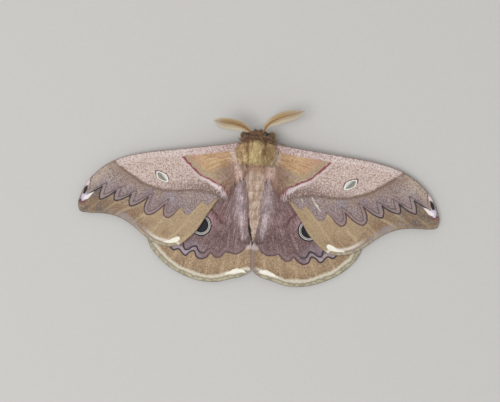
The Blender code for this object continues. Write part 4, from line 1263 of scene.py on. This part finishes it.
def bodyColour(p):
    # the same colours on the skin and on the fur that grows from it
    x, y, z = p.parts("place")
    streak = p.noise(0.9, p.place((1.0, 0.22, 1.0)), detail=4.0, rough=0.6)
    fine = p.noise(0.35, detail=2.0)
    patchy = p.noise(1.8, detail=2.0)
    wide = abs(x)
    ahead = y + wide * wide * bodyCore["collarBend"]
    collar = p.mix((124, 88, 74), (214, 174, 158), p.attribute("along").rise(0.4, 0.9) * 0.85)
    thorax = p.layers(
        (232, 210, 164),
        ((166, 136, 94), streak.rise(0.42, 0.6) * 0.85),
        ((236, 220, 172), wide.rise(2.2, 0.8) * y.rise(18.6, 16.5) * 0.6),
        ((152, 112, 74), (wide - 2.4 + patchy * 0.8 - 0.4).line(0.9, 0.6) * y.rise(15.4, 17.2) * 0.85),
        ((190, 152, 108), wide.rise(3.2, 4.2) * 0.7),
        ((240, 222, 200), wide.rise(4.3, 4.9) * streak.rise(0.6, 0.44) * y.rise(19.5, 17.0) * 0.9),
        ((226, 204, 180), wide.rise(3.2, 4.4) * y.rise(15.2, 14.0) * 0.8),
        ((112, 78, 56), (ahead + (patchy - 0.5) * 0.5).rise(19.75, 20.15) * 0.7),
        (collar, ahead.rise(20.25, 20.4)),
    )
    ringed = y * 0.295 + (patchy - 0.5) * 0.5
    abdomen = p.layers(
        (238, 217, 199),
        ((198, 168, 148), streak.rise(0.42, 0.62) * 0.85),
        ((186, 142, 118), ringed.maths("PINGPONG", ringed + 20.0, 0.5).rise(0.2, 0.02) * 0.35),
        ((210, 172, 146), y.rise(7.5, 11.5) * 0.85),
        ((222, 204, 198), wide.rise(2.3, 3.4) * 0.7),
    )
    head = p.mix((150, 116, 88), (184, 152, 112), wide.rise(1.6, 2.6) * 0.6)
    limb = p.mix((160, 134, 96), (122, 96, 70), p.attribute("legDown").rise(0.55, 0.8) * 0.6)
    colour = p.layers(
        abdomen,
        (thorax, (y + patchy * 0.8 - 0.4).rise(13.2, 13.7)),
        (head, y.rise(20.75, 20.95)),
        ((186, 166, 140), z.rise(4.4, 3.0) * 0.6),
        (limb, p.attribute("legShare")),
    )
    return colour, fine, streak


def bodyFinish(name):
    p = Paint(name, roughness=0.75)
    colour, fine, streak = bodyColour(p)
    if name == "bodyFur":
        # painted light: the fur is lightened along each tuft, against the shade that the tufts cast on one
        # another
        return p.finish(p.shade(colour, p.attribute("along") * 0.25 + fine * 0.8 + 0.52))
    return p.finish(p.shade(colour, fine * 0.3 + 0.6), height=fine + streak, depth=0.08)


coats = {
    # tufts to a square millimetre, then their length, width, lift and spread
    "thoraxFur": {"Density": 34.0, "Length": 2.4, "Width": 0.2, "Lift": 1.5, "Spread": 0.34, "Seed": 1},
    "collarFur": {"Density": 46.0, "Length": 1.6, "Width": 0.16, "Lift": 1.9, "Spread": 0.3, "Seed": 5},
    "abdomenFur": {"Density": 26.0, "Length": 1.25, "Width": 0.16, "Lift": 0.9, "Spread": 0.2, "Seed": 2},
    "headFur": {"Density": 70.0, "Length": 0.55, "Width": 0.11, "Lift": 0.9, "Spread": 0.5, "Seed": 3},
    "legFur": {"Density": 34.0, "Length": 0.7, "Width": 0.1, "Lift": 1.0, "Spread": 0.2, "Seed": 4},
}


def coatShares(mesh):
    # where each coat grows, and how long it is there
    x, y, z = (placesOf(mesh) - (bodyCore["middle"], 0.0, 0.0)).T
    wide = np.abs(x)
    ahead = y + bodyCore["collarBend"] * x**2
    onLeg, down = [readAll(mesh.attributes[name].data, "value") for name in ("legShare", "legDown")]
    return {
        "thoraxFur": (
            easeStep(y, 13.4, 13.8) * easeStep(ahead, 20.25, 20.05) * (1 - onLeg) * easeStep(z, 1.2, 2.0),
            0.85 + 0.25 * easeStep(y, 16.5, 14.0) + 0.6 * easeStep(wide, 3.4, 5.0),
        ),
        "collarFur": (
            easeStep(ahead, 20.05, 20.25) * easeStep(y, 21.1, 20.9) * (1 - onLeg) * easeStep(z, 4.5, 6.0),
            0.7 + 0.3 * easeStep(wide, 5.0, 1.0),
        ),
        "abdomenFur": (
            easeStep(y, 13.9, 13.5) * (1 - onLeg) * easeStep(z, 0.8, 1.6),
            0.8 + 0.9 * easeStep(y, -11.0, -14.0) + 1.2 * easeStep(wide, 1.8, 3.2) * easeStep(y, -9.0, -3.0),
        ),
        "headFur": (easeStep(y, 20.5, 20.9) * (1 - onLeg), 1.0 + 0.9 * easeStep(y, 21.8, 22.6)),
        "legFur": (onLeg, 1.7 - 1.3 * easeStep(down, 0.4, 0.75)),
    }


def growCoats(skin, recipe, tuft, material):
    mesh, pieces = skin.data, {}
    count = len(mesh.vertices)
    storeFloats(mesh, furDensity=np.zeros(count), furLength=np.ones(count))
    for name, shares in coatShares(mesh).items():
        for layer, share in zip(("furDensity", "furLength"), shares):
            mesh.attributes[layer].data.foreach_set("value", share.astype(np.float32))
        pieces[name] = recipe.grow(name, mesh.copy(), {**coats[name], "Tuft": tuft, "Material": material})
        print("coat", name, len(pieces[name].data.polygons), "faces")
    return pieces


wingHair = {
    "fore": {"Density": 12.0, "Length": 2.0, "Width": 0.14, "Lift": 0.4, "Spread": 0.2, "Seed": 21},
    "hind": {"Density": 14.0, "Length": 1.9, "Width": 0.14, "Lift": 0.3, "Spread": 0.12, "Seed": 22},
}


# Eyes

eyeBall = {"centre": (2.3, 22.0, 5.9), "radius": 1.15}


def buildEye(side, sign):
    work = bmesh.new()
    bmesh.ops.create_icosphere(work, subdivisions=5, radius=eyeBall["radius"])
    points = np.array([v.co for v in work.verts]) + np.array(eyeBall["centre"]) * (sign, 1, 1)
    points[:, 0] += bodyCore["middle"]
    faces = [[v.index for v in f.verts] for f in work.faces]
    work.free()
    return meshPiece("eye" + side.title(), points, faces)


def eyeFinish():
    p = Paint("eyeLens", roughness=0.25, **{"Coat Weight": 0.3, "Coat Roughness": 0.12})
    cells = p.node("ShaderNodeTexVoronoi", {"feature": "F1"}, {"Vector": p.place(), "Scale": 11.0})
    facet = Amount(p, cells.outputs["Distance"])
    colour = p.mix((44, 34, 30), (16, 13, 13), facet.rise(0.2, 0.6))
    return p.finish(colour, height=-facet, depth=0.02)


# Feelers

feelers = {
    -1: ((-0.9, 21.9, 6.9), (-3.9, 24.0, 8.6), (-7.0, 24.9, 9.9), (-10.1, 25.3, 11.1), (-14.1, 25.8, 12.2)),
    1: (
        (2.0, 21.9, 6.9), (3.8, 25.1, 8.3), (6.5, 26.9, 8.9), (9.3, 28.1, 9.3), (12.0, 28.9, 9.4),
        (16.2, 30.1, 9.4),
    ),
    "rod": 0.36,
    "pairs": 58,
    "ray": {"leading": 2.3, "trailing": 3.4},
    "sweep": 48.0,
    "rays": ((0.05, -0.05), (-0.14, 0.07)),  # how far each ray of a joint rises, and how far it leans
    "curl": (0.14, 0.0, -0.05),
    "rayRadii": (0.036, 0.034, 0.030, 0.022),
    "hairs": {"count": 10, "from": 0.15, "to": 0.95, "long": 0.11, "radius": 0.016},
    "swell": (  # a place along the feeler, and the length of the rays there
        (0.03, 0.0), (0.10, 0.45), (0.25, 0.85), (0.45, 1.0), (0.65, 0.9), (0.82, 0.62), (0.93, 0.33),
    ),
}


def raysShape(edge):
    # two rays of one joint on one edge of a feeler, each with a row of fine hairs
    points, faces = [], []

    def spike(path, radii):
        start = len(points)
        for centre, radius in zip(path[:-1], radii):
            step = (path[-1] - path[0]) / np.linalg.norm(path[-1] - path[0])
            across = np.cross(step, (0, 0, 1.0))
            across /= np.linalg.norm(across)
            up = np.cross(across, step)
            for turn in (0.0, 2.1, 4.2):
                points.append(centre + radius * (math.cos(turn) * across + math.sin(turn) * up))
        points.append(path[-1])
        rows = len(path) - 1
        faces.append((start + 2, start + 1, start))
        for r in range(rows - 1):
            a, b = start + 3 * r, start + 3 * r + 3
            faces.extend((a + i, a + (i + 1) % 3, b + (i + 1) % 3, b + i) for i in range(3))
        last = start + 3 * (rows - 1)
        faces.extend((last + i, last + (i + 1) % 3, start + 3 * rows) for i in range(3))

    sweep = math.radians(feelers["sweep"])
    curl, hairs = np.array(feelers["curl"]), feelers["hairs"]
    hair = np.array((0.9, edge * -0.15, -0.1)) * hairs["long"]
    for lift, lean in feelers["rays"]:
        heading = np.array((math.cos(sweep + lean), edge * math.sin(sweep + lean), lift))
        path = np.array([heading * s + curl * s * s for s in (0.0, 0.3, 0.6, 0.85, 1.0)])
        spike(path, feelers["rayRadii"])
        for share in np.linspace(hairs["from"], hairs["to"], hairs["count"]):
            base = heading * share + curl * share**2
            spike(np.array([base, base + hair]), (hairs["radius"],))
    shape = meshPiece("rays", np.array(points) / mm, faces)
    turnOutwards(shape.data)
    outward = 0.2 + 0.8 * np.abs(np.array(points)[:, 1]) / math.sin(sweep)
    storeFloats(shape.data, outward=outward, rightSide=np.full(len(points), edge < 0))
    return shape


def feelerRecipe():
    r = Recipe("combFeeler", {
        "Course": ("NodeSocketGeometry", None),
        "Right rays": ("NodeSocketObject", None),
        "Left rays": ("NodeSocketObject", None),
        "Material": ("NodeSocketMaterial", None),
        "Joints": ("NodeSocketInt", 40),
        "Right length": ("NodeSocketFloat", 2.4),
        "Left length": ("NodeSocketFloat", 2.4),
        "Rod radius": ("NodeSocketFloat", 0.3),
        "Seed": ("NodeSocketInt", 1),
    })
    given = r.given
    course = r.out("GeometryNodeResampleCurve", {"mode": "COUNT"}, {
        "Curve": given["Course"], "Count": given["Joints"],
    })
    share = r.out("GeometryNodeSplineParameter", name="Factor")
    tangent = r.out("GeometryNodeInputTangent")
    level = r.out("FunctionNodeAlignRotationToVector", {"axis": "X"}, {"Vector": tangent})
    level = r.out("FunctionNodeAlignRotationToVector", {"axis": "Z", "pivot_axis": "X"}, {
        "Rotation": level, "Vector": (0.0, 0.0, 1.0),
    })
    swell = r.out("ShaderNodeFloatCurve", None, {"Value": share})
    curve = swell.node.mapping.curves[0]
    for place in feelers["swell"]:
        curve.points.new(*place)
    curve.points[0].location = (0.0, 0.0)
    curve.points[len(curve.points) - 1].location = (1.0, 0.06)
    swell.node.mapping.update()
    swell = r.maths("MULTIPLY", swell, r.random(0.94, 1.06, given["Seed"]))
    combs = [
        r.copies(course, given[edge + " rays"], level, r.millimetres(given[edge + " length"], swell))
        for edge in ("Right", "Left")
    ]
    thin = r.out("ShaderNodeMapRange", None, {"Value": share, "To Min": 1.0, "To Max": 0.15}, "Result")
    circle = {"Resolution": 10, "Radius": 1.0}
    ring = r.out("GeometryNodeCurvePrimitiveCircle", {"mode": "RADIUS"}, circle, "Curve")
    rod = r.out("GeometryNodeCurveToMesh", None, {
        "Curve": course, "Profile Curve": ring, "Scale": r.millimetres(given["Rod radius"], thin),
        "Fill Caps": True,
    })
    joined = r.node("GeometryNodeJoinGeometry")
    for part in (rod, *combs):
        r.tree.links.new(part, joined.inputs[0])
    return r.close(r.end(joined.outputs[0], given["Material"]))


def courseCurve(name, points):
    curve = bpy.data.curves.new(name, "CURVE")
    curve.dimensions = "3D"
    line = curve.splines.new("POLY")
    line.points.add(len(points) - 1)
    for knot, place in zip(line.points, points):
        knot.co = (*(Vector(place) * mm), 1.0)
    return curve


def feelerFinish():
    p = Paint("feelerHorn", roughness=0.5)
    fine = p.noise(0.35, detail=2.0)
    outward = p.attribute("outward")
    rod = p.mix((164, 120, 68), (134, 94, 50), fine.rise(0.4, 0.66))
    trailing = p.attribute("trailing")
    near = p.mix((196, 160, 108), (204, 180, 142), trailing)
    far = p.mix((224, 202, 160), (226, 216, 196), trailing)
    colour = p.layers(rod, (near, outward.rise(0.05, 0.25)), (far, outward.rise(0.3, 0.85) * 0.85))
    return p.finish(colour, height=fine, depth=0.02)


def buildFeelers(material):
    recipe = feelerRecipe()
    shapes = {"Right rays": raysShape(-1), "Left rays": raysShape(1)}
    pieces = {}
    for side, sign in sideSigns.items():
        right, left = ("trailing", "leading") if sign > 0 else ("leading", "trailing")
        course = courseCurve("course", smoothPath(feelers[sign], 0.3))
        piece = recipe.grow("feeler" + side.title(), course, {
            **shapes, "Material": material, "Joints": feelers["pairs"], "Rod radius": feelers["rod"],
            "Right length": feelers["ray"][right], "Left length": feelers["ray"][left], "Seed": 3 + sign,
        })
        rightSide = readAll(piece.data.attributes["rightSide"].data, "value")
        storeFloats(piece.data, trailing=rightSide if sign > 0 else 1 - rightSide)
        pieces["antenna_" + side] = piece
        print("feeler", side, len(piece.data.polygons), "faces")
    for shape in shapes.values():
        bpy.data.objects.remove(shape)
    return pieces


# Floor, light and camera

studio = {
    "floorHalf": 600,
    "floor": (203, 201, 198),
    "sky": 0.60,
    "key": {"at": (-0.24, -0.16, 0.80), "size": 0.50, "power": 3.2},
    "camera": {"at": (18.6, 7.7, 224.4), "towards": (-1.8, -1.3, 0.0), "roll": 2.5, "lens": 45.7},
}


def buildStudio():
    p = Paint("paleFloor", roughness=0.9)
    p.finish(p.shade(studio["floor"], p.noise(1.4, detail=3.0) * 0.06 + 0.97))
    half = studio["floorHalf"]
    corners = [(-half, -half, 0), (half, -half, 0), (half, half, 0), (-half, half, 0)]
    floor = meshPiece("floor", corners, [(0, 1, 2, 3)])
    floor.data.materials.append(p.material)
    world = bpy.data.worlds.new("softRoom")
    world.use_nodes = True
    background = world.node_tree.nodes["Background"].inputs
    background["Color"].default_value = (1.0, 1.0, 1.0, 1.0)
    background["Strength"].default_value = studio["sky"]
    bpy.context.scene.world = world
    key = studio["key"]
    lamp = bpy.data.lights.new("keyLight", "AREA")
    lamp.size = key["size"]
    lamp.energy = key["power"]
    lampPiece = placed("keyLight", lamp)
    lampPiece.location = key["at"]
    lampPiece.rotation_euler = (-Vector(key["at"])).to_track_quat("-Z", "Y").to_euler()
    view = studio["camera"]
    camera = bpy.data.cameras.new("photoView")
    camera.lens = view["lens"]
    camera.sensor_width = 36.0
    camera.clip_start = 0.01
    cameraPiece = placed("photoView", camera)
    at, towards = Vector(view["at"]) * mm, Vector(view["towards"]) * mm
    roll = math.radians(view["roll"])
    back = (at - towards).normalized()
    right = Vector((-math.sin(roll), math.cos(roll), 0.0)).cross(back).normalized()
    up = back.cross(right)
    cameraPiece.matrix_world = Matrix.Translation(at) @ Matrix((right, up, back)).transposed().to_4x4()
    bpy.context.scene.camera = cameraPiece
    bpy.context.scene.view_settings.view_transform = "Standard"


# The whole moth


def main():
    buildStudio()
    recipe, tuft = furRecipe(), tuftShape()
    wings = buildWings()
    scales = {"forewing": foreScales(), "hindwing": hindScales()}
    for node, piece in wings.items():
        kind = node.split("_")[0]
        piece.data.materials.append(scales[kind])
        values = {**wingHair[kind[:4]], "Tuft": tuft, "Material": scales[kind]}
        hair = recipe.grow(piece.name + "Hair", piece.data.copy(), values)
        print("hair", hair.name, len(hair.data.polygons), "faces")
        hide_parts(node)
        for part in (piece, hair):
            kind[:4] + "_scales"
            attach(part, "root")
    skin = buildSkin()
    coatPieces = growCoats(skin, recipe, tuft, bodyFinish("bodyFur"))
    skin.data.materials.append(bodyFinish("bodySkin"))
    legNodes = [f"leg_{pair}_{side}" for pair in legCourses for side in sideSigns]
    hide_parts("head", "thorax", "abdomen", *legNodes)
    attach(skin, "root")
    for name, piece in coatPieces.items():
        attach(piece, "root")
    horn, lens = feelerFinish(), eyeFinish()
    for node, piece in buildFeelers(horn).items():
        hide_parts(node)
        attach(piece, "root")
    for side, sign in sideSigns.items():
        eye = buildEye(side, sign)
        eye.data.materials.append(lens)
        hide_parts("eye_" + side)
        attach(eye, "root")
    bpy.data.objects.remove(tuft)


main()
